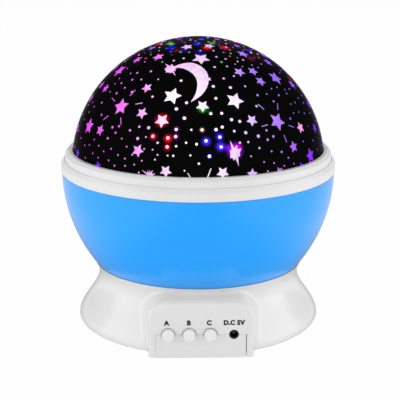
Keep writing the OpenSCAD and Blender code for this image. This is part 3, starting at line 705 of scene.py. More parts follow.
HALOS = tuple(Halo(*row) for row in (
    (-19, 30.7, 3.9, (2.7, 0, 0.05)), (-22, 23.5, 2.2, (1.8, 0, 0.04)), (-14.9, 23, 2.6, (2.2, 0, 0.05)),
    (-14.9, 19.3, 2.1, (1.3, 0, 0.03)), (-11.4, 27.2, 1.9, (0.4, 0, 0.35)), (-11.4, 24, 2, (0.5, 0, 0.4)),
    (0.5, 27, 1.7, (0.8, 0.3, 0.22)), (1, 36.7, 3.1, (0.04, 1.2, 0.02)),
    (4.9, 34.3, 1.6, (0.03, 0.3, 0.03)), (2.3, 22.1, 2.8, (0.12, 0.06, 2.6)),
    (8.4, 23.9, 2.4, (0.1, 0.05, 2.4)), (8.6, 19.8, 3, (0.14, 0.08, 2.8)), (12, 19.2, 2.3, (0.3, 0, 1.6)),
    (6.8, 26.7, 1.7, (0.04, 0, 0.9)), (3.7, 16, 1.8, (0.02, 0, 0.8)), (14.8, 17.8, 4.5, (1.3, 0, 3)),
    (16.5, 19.2, 2.9, (0.7, 0, 0.5)), (-43, 72, 3.2, (0, 0, 2)), (-2.6, 77.5, 3, (0, 0.05, 1.4)),
    (11.8, 73, 3.2, (1.4, 0, 0)), (-63, 75.5, 2.6, (0.1, 1, 0.05)), (-84, 72.5, 3.4, (1.5, 0, 0.04)),
    (-20, 71, 3.4, (0.05, 0, 0.5)), (0.5, 68.8, 3.4, (0.03, 0, 0.5)), (-86, 56, 4, (0.02, 0.3, 0)),
    (71, 66, 3.2, (0.05, 0, 1.4)), (54, 61, 3, (0.3, 0, 0.02)), (78.5, 43.5, 3.4, (0.45, 0, 0.02)),
    (-30, 70, 2.4, (0.35, 0, 0)), (40, 72, 3.2, (1.4, 0, 0.1)), (30, 78, 2.6, (0.05, 0.8, 0.03)),
))


# ---------------------------------------------------------------- the star dome


@dataclass
class StarDome:
    """The black dome: a half ball on a thin flange, lit through its stars from inside."""

    wall: float = 2.0
    flange: float = 1.2
    skirt: float = 0.9
    rings: int = 84
    segments: int = 256

    def __post_init__(self) -> None:
        """Reads the dome's place from the frame."""
        low, high = span("star_dome")
        self.foot = low[2]
        self.z = self.foot + self.skirt
        self.r = high[2] - self.z
        self.flange_r = high[0]

    def at(self, lon: float, lat: float) -> Vector:
        """Gives a place on the dome, in metres, from its angle off the front and its height angle."""
        a, b = math.radians(lon), math.radians(lat)
        return Vector((self.r * math.sin(a) * math.cos(b), -self.r * math.cos(a) * math.cos(b),
                       self.z + self.r * math.sin(b))) * MM

    def build(self) -> Piece:
        """Turns the dome and gives it."""
        rim = self.foot + self.flange
        start = math.degrees(math.asin((rim - self.z) / self.r))
        outer = arc(0, self.z, self.r, start, 90, self.rings)
        outer[-1] = (0, outer[-1][1])
        inner = arc(0, self.z, self.r - self.wall, 90, 0, self.rings // 2)
        inner[0] = (0, inner[0][1])
        outline = [(self.flange_r, self.foot), (self.flange_r, rim), *outer, *inner]
        outline.append((self.r - self.wall, self.foot))
        made = turned("star_dome_shell", outline, self.segments)
        made.data.materials.append(self.material())
        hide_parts("star_dome")
        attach(made, "globe")
        return made

    def material(self) -> bpy.types.Material:
        """Builds the dome's deep black, with the glow of the lights round some of its stars."""
        made, tree, shader, where = started("dome_black")
        spots = [(self.at(halo.lon + turn, halo.lat), halo.reach, halo.colour)
                 for halo in HALOS for turn in (0, 180)]
        black = (0.0022, 0.0024, 0.0024, 1)
        feed(tree, shader, {
            "Base Color": blended(tree, "MULTIPLY", 1.0, black, grained(tree, where)["Tone"]),
            "Emission Color": lit(tree, where, spots, (0.0, 0.0, 0.0, 1.0)), "Emission Strength": 1.0,
            "Roughness": 0.22, "IOR": 1.02})
        return made


class Motif(Enum):
    """The shapes that are printed on the dome: number of points, and notches' radius or half width."""

    STAR = (5, 0.5)
    DOT = (9, 1.0)
    DASH = (4, 0.09)


@dataclass(frozen=True)
class Mark:
    """One printed shape: what it is, where it is, its radius in millimetres, its turn, and the pick of its
    painted LED light's own colour.
    """

    motif: Motif
    lon: float
    lat: float
    size: float
    spin: float = 0.0
    tint: float = 0.0


# The stars: angle off the front, height angle, radius and turn, and for a few the pick of their painted LED
# light's own colour.
STARS = (
    (-16, 42, 4.4, -12), (19, 39.5, 4.3, -28), (1.5, 64, 4.3, 36), (-45, 34.5, 4.3, 14),
    (40, 28, 4.4, 36), (1, 37.5, 3.0, 36), (-19, 30.5, 3.35, -33), (-30.5, 33, 2.8, -20),
    (-33.5, 45, 2.6, -33), (25.5, 30, 2.8, -47), (-28.5, 17, 3.0, -21), (-15, 9.5, 2.8, -31),
    (9, 9, 2.9, -39), (-64.5, 22.5, 3.9, 10), (-53.5, 22.5, 2.7, -10), (-72, 50.5, 3.8, -30),
    (-65.5, 59, 2.6, -20), (-43.5, 63.5, 2.9, -30), (-19, 74, 2.8, 36), (17.5, 75, 2.6, 36),
    (52, 65, 3.0, -45), (30, 54, 2.8, -45), (42, 53.5, 2.6, -45), (42, 47.5, 2.7, -45),
    (58.5, 47.5, 4.0, -40), (73, 41.5, 2.6, -45), (72, 56, 2.6, -40), (86, 59.5, 3.0, 10),
    (55, 23, 2.7, 8, 0.5), (46, 16, 2.7, 5), (58, 10, 3.7, 8), (70.5, 20, 2.4, 16, 0.85),
    (79.5, 30, 2.6, 0, 0.85), (49.5, 6.5, 2.4, 10, 0.85), (22, 7.5, 2.6, -5), (35.5, 7, 2.2, 20),
    (-70.5, 9, 2.2, 0, 0.85), (-50, 7.5, 2.2, 12, 0.85), (-82.5, 33, 2.6, 0), (-69, 40.5, 2.4, 20),
    (-80, 40.5, 2.2, 8), (82, 12, 2.6, 8), (-82, 18, 2.8, 30), (88, 46, 2.8, 12), (-88, 50, 2.6, 4),
    (5.6, 51, 1.3, 20),
)

# Longitudes of the printed dots, by radius in millimetres and latitude
DOTS = {
    0.7: {50: (-12.5,), 47: (8,), 46: (18.5,), 41: (8.5,), 39: (-7.5,), 36: (-12.5,), 34: (5, 10.5),
        32: (-8,), 31: (15,), 30: (19,), 28: (10,), 27: (-25, -11.5, 0.5, 7), 25: (21,),
        24: (-11.5,), 23: (27,), 22: (-29.5,), 16: (3.5,)},
    0.54: {65: (17.5,), 64: (-15.5,), 63: (25.5,), 62: (-24,), 58: (12, 22.5), 54: (-38,),
        52: (-49, 24), 51: (16,), 48: (-48.5,), 46: (28.5,), 42: (-42.5,), 41: (-27.5, 34),
        40: (-54,), 37: (43,), 36: (30.5,), 34: (-62.5,), 29: (-57,), 28: (49.5,), 27: (-30,),
        26: (-41.5, 15.5), 25: (-45.5, -34.5, 32), 23: (-42.5,), 22: (35,),
        21: (-19.5, -2, 17.5, 21.5, 31.5), 20: (-46.5, -11), 18: (26.5,), 16: (-12,), 15: (38,),
        13: (-1,)},
    0.38: {68: (-53.5, 29.5), 63: (39,), 59: (-52.5, 31), 57: (36, 46.5), 55: (50.5,), 53: (-64.5,),
        51: (-55,), 50: (-28.5,), 47: (-62,), 44: (-62,), 43: (47, 52.5), 41: (58.5,), 39: (57.5,),
        34: (55.5, 60.5), 31: (-68.5,), 30: (-79.5,), 28: (64.5,), 25: (-80.5,), 23: (-25.5,),
        21: (-38,), 18: (-77, -56, -34.5, -25.5, -21.5), 17: (54,),
        16: (-70, -51.5, -43, -19, -14.5, 32.5), 15: (-59, -31, 22), 14: (-63.5, -38.5, -20),
        13: (-34.5, -26), 12: (-55, 28, 41.5), 11: (-50.5, -43.5, -29.5, 33, 66.5), 10: (-34, -7),
        9: (38.5, 44.5), 8: (-27, 29.5)},
}
GLOWING_DOTS = ((-22.2, 23.6), (-15.0, 23.3), (-15.0, 19.6), (2.2, 22.4), (8.5, 23.8), (8.8, 19.7))
# The dashes round two of the stars: angle off the star's centre, and distance in millimetres
RAYS = {
    (-45, 34.5): ((71, 7.6), (17, 9.0), (297, 7.0), (223, 9.2), (161, 7.2)),
    (40, 28): ((127, 9.4), (62, 7.2), (187, 7.4), (336, 8.2), (282, 8.0)),
}
MOON_OUTER = ((-8.0, 6.9), (-4.3, 9.8), (0.4, 11.1), (4.4, 9.1), (7.5, 5.5), (8.9, 1.2), (8.7, -3.1),
              (6.5, -7.4), (2.5, -10.6))
MOON_INNER = ((-8.0, 6.9), (-4.5, 7.6), (-0.9, 6.5), (2.7, 3.2), (4.4, -1.2), (4.2, -6.4), (2.5, -10.6))
MOON_PLACE = (-8.5, 49.9)


@dataclass(frozen=True)
class Burst:
    """A firework: its place, its body's radius, and the angle and length of each spike."""

    lon: float
    lat: float
    body: float
    spikes: tuple[tuple[float, float], ...]


BURSTS = (
    Burst(-23, 56.5, 2.0, ((8, 2.7), (45, 2.3), (97, 3.1), (141, 4.8), (163, 2.5), (187, 3.0), (214, 2.5),
                           (242, 2.9), (270, 2.5), (290, 2.9), (313, 5.2), (339, 3.0))),
    Burst(14.7, 16.7, 2.05, ((32, 3.5), (73, 3.7), (106, 5.6), (147, 2.5), (182, 2.0), (219, 2.8), (257, 3.0),
                            (284, 5.5), (333, 2.5))),
    Burst(-22, 7.2, 1.2, ((22, 2.9), (61, 2.8), (92, 2.3), (118, 2.4), (151, 4.2), (188, 2.8), (222, 2.4),
                            (262, 3.0), (305, 3.8), (344, 2.4))),
)


# Painted light: the colour of the LEDs' light in the windows round the dome, from the back by its left side:
# share of the turn, red, green, blue
UPPER_BAND = (
    (0.0, 236, 190, 249), (0.13, 150, 100, 240), (0.25, 190, 60, 240), (0.33, 244, 92, 250),
    (0.39, 246, 125, 250), (0.44, 246, 190, 250), (0.5, 240, 212, 250), (0.545, 226, 192, 250),
    (0.59, 182, 135, 250), (0.66, 158, 105, 250), (0.75, 120, 60, 240), (0.9, 240, 110, 245),
    (1.0, 236, 190, 249),
)
LOWER_BAND = (
    (0.0, 244, 205, 252), (0.1, 190, 100, 250), (0.25, 150, 35, 240), (0.33, 236, 62, 246),
    (0.40, 240, 120, 250), (0.455, 246, 205, 252), (0.5, 250, 232, 252), (0.545, 238, 205, 252),
    (0.60, 205, 120, 250), (0.64, 160, 55, 248), (0.67, 132, 28, 248), (0.8, 120, 30, 240),
    (1.0, 244, 205, 252),
)
# Heights in metres at which only the upper and only the lower colours show
BAND_HEIGHTS = (0.102, 0.084)
# Painted light: colours of the LEDs' glints in the marks that pick a colour of their own: lowest pick, linear
# colour
PAINTED_LIGHT_TINTS = (
    (0.0, (0.9, 0.02, 0.06)), (0.2, (0.04, 0.05, 1.0)), (0.36, (0.1, 0.6, 0.06)),
    (0.48, (0.95, 0.35, 0.85)), (0.66, (0.3, 0.12, 1.0)), (0.8, (0.2, 0.01, 0.9)), (0.9, (0.95, 0.85, 1.0)),
)
# Where the windows are brightest: angle off the front, height angle, reach in millimetres, power
BRIGHT_SPOTS = ((-16, 40, 26, 0.55), (16, 36, 24, 0.6), (-2, 22, 24, 0.75))


@dataclass
class StarPrint:
    """The clear windows in the dome's print, set flush in its skin."""

    dome: StarDome
    lift: float = 0.05
    sink: float = 0.3
    seed: int = 11
    marks: list[Mark] = field(default_factory=list)

    def lay_out(self) -> None:
        """Fills the list of marks: the chosen ones, turned to the back too, and scattered dots."""
        front = [Mark(Motif.STAR, *star) for star in STARS]
        for (lon, lat), dashes in RAYS.items():
            for way, reach in dashes:
                x, y = (reach * f(math.radians(way)) for f in (math.cos, math.sin))
                east, north = self.beside(lon, lat, x, y)
                front.append(Mark(Motif.DASH, east, north, 1.7, way - 90))
        front += [Mark(Motif.DASH, -4.7, 7.6, 1.8, 32), Mark(Motif.DASH, 3.2, 8.8, 2.4, -22)]
        front += [Mark(Motif.DOT, lon, lat, 0.72) for lon, lat in GLOWING_DOTS]
        dice = np.random.default_rng(self.seed)
        front += [Mark(Motif.DOT, lon, lat, size * dice.uniform(0.92, 1.08))
                  for size, rows in DOTS.items() for lat, row in rows.items() for lon in row]
        self.marks = front + [
            Mark(m.motif, m.lon + 180, m.lat, m.size, m.spin, m.tint) for m in front]
        self.scatter(dice, Motif.STAR, 20, (66, 85), (1.6, 2.3), 4.6, 1.0)
        self.scatter(dice, Motif.DOT, 110, (60, 86), (0.32, 0.6), 2.0, 1.0)
        self.scatter(dice, Motif.DOT, 130, (9, 60), (0.3, 0.5), 3.4, 0.0)

    def scatter(self, dice: np.random.Generator, motif: Motif, count: int, lats: tuple[float, float],
                sizes: tuple[float, float], gap: float, tint: float) -> None:
        """Adds marks at random places that stay clear of all others.

        Args:
            dice: The seeded random numbers.
            motif: What is added.
            count: How many are wanted.
            lats: Lowest and highest latitude.
            sizes: Smallest and largest radius.
            gap: Least distance from the rim of another mark.
            tint: Share of the painted LED light's own colours that the marks pick from; 0 keeps the colour
                round the dome.
        """
        moon = self.dome.at(*MOON_PLACE) / MM
        taken = [(np.array(self.dome.at(m.lon, m.lat)) / MM, m.size) for m in self.marks]
        taken += [(np.array((moon.x * side, moon.y * side, moon.z)), 9.5) for side in (1, -1)]
        taken += [(np.array(self.dome.at(b.lon + turn, b.lat)) / MM, 4.5)
                  for b in BURSTS for turn in (0, 180)]
        low, high = (math.sin(math.radians(v)) for v in lats)
        for _ in range(count * 40):
            if count == 0:
                break
            lat = math.degrees(math.asin(dice.uniform(low, high)))
            lon, size = dice.uniform(-180, 180), dice.uniform(*sizes)
            spin, own = dice.uniform(0, 72), dice.random()
            here = np.array(self.dome.at(lon, lat)) / MM
            if all(np.linalg.norm(here - there) > gap + size * 0.5 + r for there, r in taken):
                taken.append((here, size))
                self.marks.append(Mark(motif, lon, lat, size, spin, tint * (0.05 + 0.95 * own)))
                count -= 1

    def build(self) -> list[Piece]:
        """Prints the marks and the crescents, and gives the pieces."""
        self.lay_out()
        mesh = bpy.data.meshes.new("star_windows")
        mesh.from_pydata([self.dome.at(m.lon, m.lat) for m in self.marks], [], [])
        kinds = list(Motif)
        values = {
            "turn": ("FLOAT_VECTOR", "vector", [
                v for m in self.marks for v in (math.radians(90 - m.lat), 0.0, math.radians(m.lon))]),
            "kind": ("INT", "value", [kinds.index(m.motif) for m in self.marks]),
            "size": ("FLOAT", "value", [m.size * MM for m in self.marks]),
            "spin": ("FLOAT_VECTOR", "vector", [v for m in self.marks for v in (0, 0, math.radians(m.spin))]),
            "tint": ("FLOAT", "value", [m.tint for m in self.marks]),
        }
        for name, (kind, key, numbers) in values.items():
            mesh.attributes.new(name, kind, "POINT").data.foreach_set(key, numbers)
        made = run_tree(added("star_windows", mesh), self.tree(), {
            "Dome radius": self.dome.r * MM, "Dome height": self.dome.z * MM,
            "Lift": self.lift * MM, "Sink": self.sink * MM, "Finish": self.material()})
        fireworks = joined("firework_windows", [
            self.firework(b, turn) for b in BURSTS for turn in (0, 180)])
        pieces = [made, fireworks]
        pieces += [self.crescent("crescent_front", 0), self.crescent("crescent_back", 180)]
        for piece in pieces:
            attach(piece, "globe")
        return pieces

    def crescent(self, name: str, turn: float) -> Piece:
        """Makes a crescent window, turned by that many degrees round the dome."""
        steps, across = 40, 5
        outer, inner = smooth_line(MOON_OUTER, steps), smooth_line(MOON_INNER, steps)
        places = [outer[k] + (inner[k] - outer[k]) * j / (across - 1)
                  for k in range(steps) for j in range(across)]
        faces = [[a, a + 1, a + across + 1, a + across]
                 for k in range(steps - 1) for a in range(k * across, k * across + across - 1)]
        rim = [(a, a + across) for k in range(steps - 1) for a in (k * across, (k + 1) * across - 1)]
        rim += [(a, a + 1) for k in (0, steps - 1) for a in range(k * across, k * across + across - 1)]
        return self.window(name, (MOON_PLACE[0] + turn, MOON_PLACE[1]), places, faces, rim)

    def firework(self, burst: Burst, turn: float) -> Piece:
        """Makes a burst window, turned by that many degrees round the dome."""
        tips = []
        for k, (way, length) in enumerate(burst.spikes):
            after = burst.spikes[(k + 1) % len(burst.spikes)][0]
            tips += [(way, length), (way + (after - way) % 360 / 2, burst.body)]
        n, rows = len(tips), 4
        places = [(0.0, 0.0)] + [
            tuple(length * row / rows * f(math.radians(way)) for f in (math.cos, math.sin))
            for row in range(1, rows + 1) for way, length in tips]
        faces, rim = [], []
        for k in range(n):
            m = (k + 1) % n
            faces.append([0, 1 + k, 1 + m])
            faces += [[1 + row * n + v for v in (k, n + k, n + m, m)] for row in range(rows - 1)]
            rim.append(tuple(1 + (rows - 1) * n + v for v in (m, k)))
        return self.window("firework", (burst.lon + turn, burst.lat), places, faces, rim)

    def window(self, name: str, where: Point, places: list, faces: list, rim: list) -> Piece:
        """Makes a closed window, flush in the dome.

        Args:
            name: The piece's name.
            where: The angle off the front and the height angle of its middle.
            places: (x, y) of its corners in millimetres, to the right of its middle and above it.
            faces: Its faces, as lists of corner numbers.
            rim: Pairs of corners that are joined by its edge.

        Returns:
            The window.
        """
        under = len(places)
        points = [self.ball(*where, *spot, depth) for depth in (self.lift, -self.sink) for spot in places]
        walls = [[a, b, b + under, a + under] for a, b in rim]
        made = solid(name, points, faces + [[v + under for v in face[::-1]] for face in faces] + walls)
        made.data.materials.append(self.material())
        return made

    def beside(self, lon: float, lat: float, x: float, y: float) -> tuple[float, float]:
        """Gives the place x millimetres to the right of another on the dome and y above it."""
        north = lat + math.degrees(y / self.dome.r)
        return lon + math.degrees(x / self.dome.r / math.cos(math.radians(north))), north

    def ball(self, lon: float, lat: float, x: float, y: float, lift: float) -> tuple:
        """Gives a corner of a window, in millimetres.

        Args:
            lon, lat: The window's place.
            x, y: How far the corner lies to its right and above it.
            lift: How far the corner stands off the dome.

        Returns:
            The corner.
        """
        way = self.dome.at(*self.beside(lon, lat, x, y)) / MM - Vector((0, 0, self.dome.z))
        return tuple(way * (1 + lift / self.dome.r) + Vector((0, 0, self.dome.z)))

    def tree(self) -> Tree:
        """Builds the tree that puts a closed shape at each mark and wraps it on the dome."""
        tree, given, result = new_group(
            "star_print",
            {"Geometry": "Geometry", "Dome radius": "Float", "Dome height": "Float", "Lift": "Float",
             "Sink": "Float", "Finish": "Material"}, {"Geometry": "Geometry"}, "GeometryNodeTree")
        here = tree.nodes.new("GeometryNodeInputPosition").outputs[0]

        def named(name: str, kind: str) -> Socket:
            """Reads a named attribute."""
            return geometry(tree, "InputNamedAttribute", {"Name": name}, data_type=kind)

        def vectors(how: str, inputs: dict) -> Socket:
            """Adds a Vector Math node and gives its result."""
            return place(tree, "ShaderNodeVectorMath", inputs, operation=how).outputs[0]

        all_marks = tree.nodes.new("GeometryNodeJoinGeometry")
        up = place(tree, "ShaderNodeSeparateXYZ", {0: here}).outputs[2]
        for index, motif in enumerate(Motif):
            points, depth = motif.value
            if motif is Motif.STAR:
                curve = geometry(tree, "CurveStar", {
                    "Points": points, "Inner Radius": depth, "Outer Radius": 1.0})
                curve = geometry(tree, "Transform", {
                    "Geometry": curve, "Rotation": (0, 0, math.radians(90))})
            elif motif is Motif.DOT:
                curve = geometry(tree, "CurvePrimitiveCircle", {"Resolution": points, "Radius": depth})
            else:
                curve = geometry(tree, "CurvePrimitiveQuadrilateral", {"Width": 2 * depth, "Height": 2.0})
            flat = geometry(tree, "FillCurve", {"Curve": curve}, mode="NGONS")
            if motif is not Motif.DOT:
                flat = geometry(tree, "SubdivideMesh", {"Mesh": flat, "Level": 2})
            top = geometry(tree, "ExtrudeMesh", {
                "Mesh": flat, "Offset": (0, 0, 1), "Offset Scale": 1.0, "Individual": False})
            closed = tree.nodes.new("GeometryNodeJoinGeometry")
            tree.links.new(geometry(tree, "FlipFaces", {"Mesh": flat}), closed.inputs[0])
            tree.links.new(top, closed.inputs[0])
            whole = geometry(tree, "MergeByDistance", {"Geometry": closed.outputs[0], "Distance": 0.001})
            marked = geometry(tree, "StoreNamedAttribute", {
                "Geometry": whole, "Name": "up", "Value": up}, data_type="FLOAT", domain="POINT")
            mine = place(tree, "FunctionNodeCompare", {2: named("kind", "INT"), 3: index},
                         data_type="INT", operation="EQUAL").outputs[0]
            put = geometry(tree, "InstanceOnPoints", {
                "Points": given["Geometry"], "Selection": mine, "Instance": marked,
                "Rotation": named("turn", "FLOAT_VECTOR"), "Scale": named("size", "FLOAT")})
            spun = geometry(tree, "RotateInstances", {
                "Instances": put, "Rotation": named("spin", "FLOAT_VECTOR")})
            tree.links.new(spun, all_marks.inputs[0])
        plain = geometry(tree, "RealizeInstances", {"Geometry": all_marks.outputs[0]})
        centre = place(tree, "ShaderNodeCombineXYZ", {2: given["Dome height"]}).outputs[0]
        way = vectors("NORMALIZE", {0: vectors("SUBTRACT", {0: here, 1: centre})})
        depth = sums(tree, "ADD", given["Lift"], given["Sink"])
        level = sums(tree, "SUBTRACT", sums(tree, "MULTIPLY", named("up", "FLOAT"), depth), given["Sink"])
        out = vectors("SCALE", {0: way, 3: sums(tree, "ADD", given["Dome radius"], level)})
        wrapped = geometry(tree, "SetPosition", {
            "Geometry": plain, "Position": vectors("ADD", {0: out, 1: centre})})
        feed(tree, result, {0: geometry(tree, "SetMaterial", {
            "Geometry": wrapped, "Material": given["Finish"]})})
        return tree

    def material(self) -> bpy.types.Material:
        """Builds the lit windows, with painted light: the LEDs' colour round the dome, coloured LED glints
        near the top, bright in front.
        """
        if "star_light" in bpy.data.materials:
            return bpy.data.materials["star_light"]
        made, tree, shader, where = started("star_light")
        place_x, place_y, place_z = place(tree, "ShaderNodeSeparateXYZ", {0: where}).outputs
        turn = sums(tree, "ARCTAN2", place_x, sums(tree, "MULTIPLY", place_y, -1.0))
        share = mapped(tree, turn, -math.pi, math.pi)
        high, low = (self.ramp(tree, share, [(at, linear(*rgb)) for at, *rgb in band])
                     for band in (UPPER_BAND, LOWER_BAND))
        ring = blended(tree, "MIX", mapped(tree, place_z, *BAND_HEIGHTS), high, low)
        # Painted light: marks with a pick of their own show one LED's coloured glint instead of the colour
        # round the dome.
        tint = place(tree, "ShaderNodeAttribute", attribute_name="tint").outputs["Fac"]
        own = self.ramp(tree, tint, PAINTED_LIGHT_TINTS, "CONSTANT")
        colour = blended(tree, "MIX", sums(tree, "GREATER_THAN", tint, 0.001), ring, own)
        spots = [(self.dome.at(lon + side, lat), reach, (power, power, power * 0.6))
                 for lon, lat, reach, power in BRIGHT_SPOTS for side in (0, 180)]
        grain = grained(tree, where, Grain=900.0, Patch=420.0, Spread=0.22)
        feed(tree, shader, {
            "Emission Color": blended(tree, "MULTIPLY", 1.0, lit(tree, where, spots, colour), grain["Tone"]),
            "Emission Strength": 1.0, "Base Color": (0.01, 0.01, 0.01, 1), "Roughness": 0.3, "IOR": 1.04})
        return made

    @staticmethod
    def ramp(tree: Tree, value: Socket, stops: list | tuple, between: str = "LINEAR") -> Socket:
        """Adds a colour ramp with those (place, colour) stops, and gives its colour."""
        made = place(tree, "ShaderNodeValToRGB", {0: value})
        made.color_ramp.interpolation = between
        band = made.color_ramp.elements
        while len(band) < len(stops):
            band.new(0.5)
        for stop, (at, _) in zip(band, stops):
            stop.position = at
        for stop, (_, colour) in zip(band, stops):
            stop.color = (*colour, 1)
        return made.outputs[0]


# ---------------------------------------------------------------- ring and bowl


@dataclass
class DomeRing:
    """The white ring that holds the dome: a band, a shoulder up to a fine step, and a bevelled lip."""

    band: float = 3.4
    step_h: float = 5.3
    step: float = 0.4
    shoulder: float = 1.3
    bevel: float = 1.3
    lip: float = 1.6
    wall: float = 1.6
    gap: float = 0.2
    groove: float = 0.25

    def build(self, dome: StarDome) -> Piece:
        """Turns the ring round the dome's foot, and gives it."""
        low, high = span("dome_ring")
        r, z0, z1 = high[0], low[2], high[2]
        hole = dome.r + self.gap
        top_hole = math.sqrt(hole ** 2 - (z1 - dome.z) ** 2)
        mid_r, mid_z = r - self.shoulder, z0 + self.step_h
        rim_z = dome.foot + dome.flange
        start = math.degrees(math.asin((z1 - dome.z) / hole))
        end = math.degrees(math.asin((rim_z - dome.z) / hole))
        outline = rounded([
            (r - self.wall, z0), (r, z0, 0.3), (r, z0 + self.band, 1.5), (mid_r, mid_z, 0.25),
            (mid_r - self.step + 0.08, mid_z), (mid_r - self.step - 0.06, mid_z - self.groove),
            (mid_r - self.step - 0.1, mid_z + 0.12), (mid_r - 2 * self.step, z1 - self.bevel, 0.8),
            (top_hole + self.lip, z1, 0.4), (top_hole, z1)], guard=0.05)
        outline += arc(0, dome.z, hole, start, end, 8)[1:] + [(r - self.wall, rim_z)]
        made = turned("dome_ring_band", outline, 256)
        WHITE_RING.dress(made)
        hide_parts("dome_ring")
        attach(made, "globe")
        return made


@dataclass
class Bowl:
    """The blue bowl under the ring, with its spigot and its flat foot."""

    curve_r: float = 68.8
    wall: float = 2.0
    spigot: float = 1.1
    spigot_w: float = 1.85
    hole_r: float = 11.2
    shadow: float = 0.3
    shadow_h: float = 0.45

    def build(self) -> Piece:
        """Turns the bowl, and gives it."""
        low, high = span("bowl")
        r, z0, top = high[0], low[2], high[2] - self.spigot
        centre = r - self.curve_r
        spigot_r = span("star_dome")[1][0]
        foot = -math.degrees(math.asin((top - z0) / self.curve_r))
        inner_r = self.curve_r - self.wall
        inner_foot = -math.degrees(math.asin((top - z0 - self.wall) / inner_r))
        outline = [(self.hole_r, z0)] + arc(centre, top, self.curve_r, foot, -0.45, 72)
        outline += [
            (r - self.shadow, top - self.shadow_h), (r - self.shadow, top), (spigot_r, top),
            (spigot_r, top + self.spigot), (spigot_r - self.spigot_w, top + self.spigot),
            (spigot_r - self.spigot_w, top - 1.5)]
        inner = arc(centre, top, inner_r, -1.4, inner_foot, 40)
        outline += inner + [(self.hole_r, z0 + self.wall)]
        made = turned("bowl_shell", outline, 256)
        BLUE.dress(made)
        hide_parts("bowl")
        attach(made, "globe")
        return made


# ---------------------------------------------------------------- the base


def eased(value: np.ndarray, start: float, end: float) -> np.ndarray:
    """Gives 0 before the start and 1 past the end, with a smooth rise between them."""
    share = np.clip((value - start) / (end - start), 0, 1)
    return share * share * (3 - 2 * share)


def skin(inside: Callable[[np.ndarray], np.ndarray], low: np.ndarray, high: np.ndarray,
         rounds: int) -> np.ndarray:
    """Finds how far a form reaches, by halving.

    Args:
        inside: Tells for each distance whether it ends inside the form.
        low, high: Distances that end inside it and outside it.
        rounds: How often the stretch between them is halved.

    Returns:
        The distances to its skin.
    """
    for _ in range(rounds):
        half = (low + high) / 2
        within = inside(half)
        low, high = np.where(within, half, low), np.where(within, high, half)
    return low


def soft_both(a: np.ndarray, b: np.ndarray, r: float | np.ndarray) -> np.ndarray:
    """Gives the distance to where two shapes overlap, with their common edge rounded by r."""
    return np.minimum(np.maximum(a, b), -r) + np.hypot(np.maximum(a + r, 0), np.maximum(b + r, 0))


def soft_either(a: np.ndarray, b: np.ndarray, r: float | np.ndarray) -> np.ndarray:
    """Gives the distance to the union of two shapes, with a fillet of radius r between them."""
    return np.maximum(np.minimum(a, b), r) - np.hypot(np.maximum(r - a, 0), np.maximum(r - b, 0))


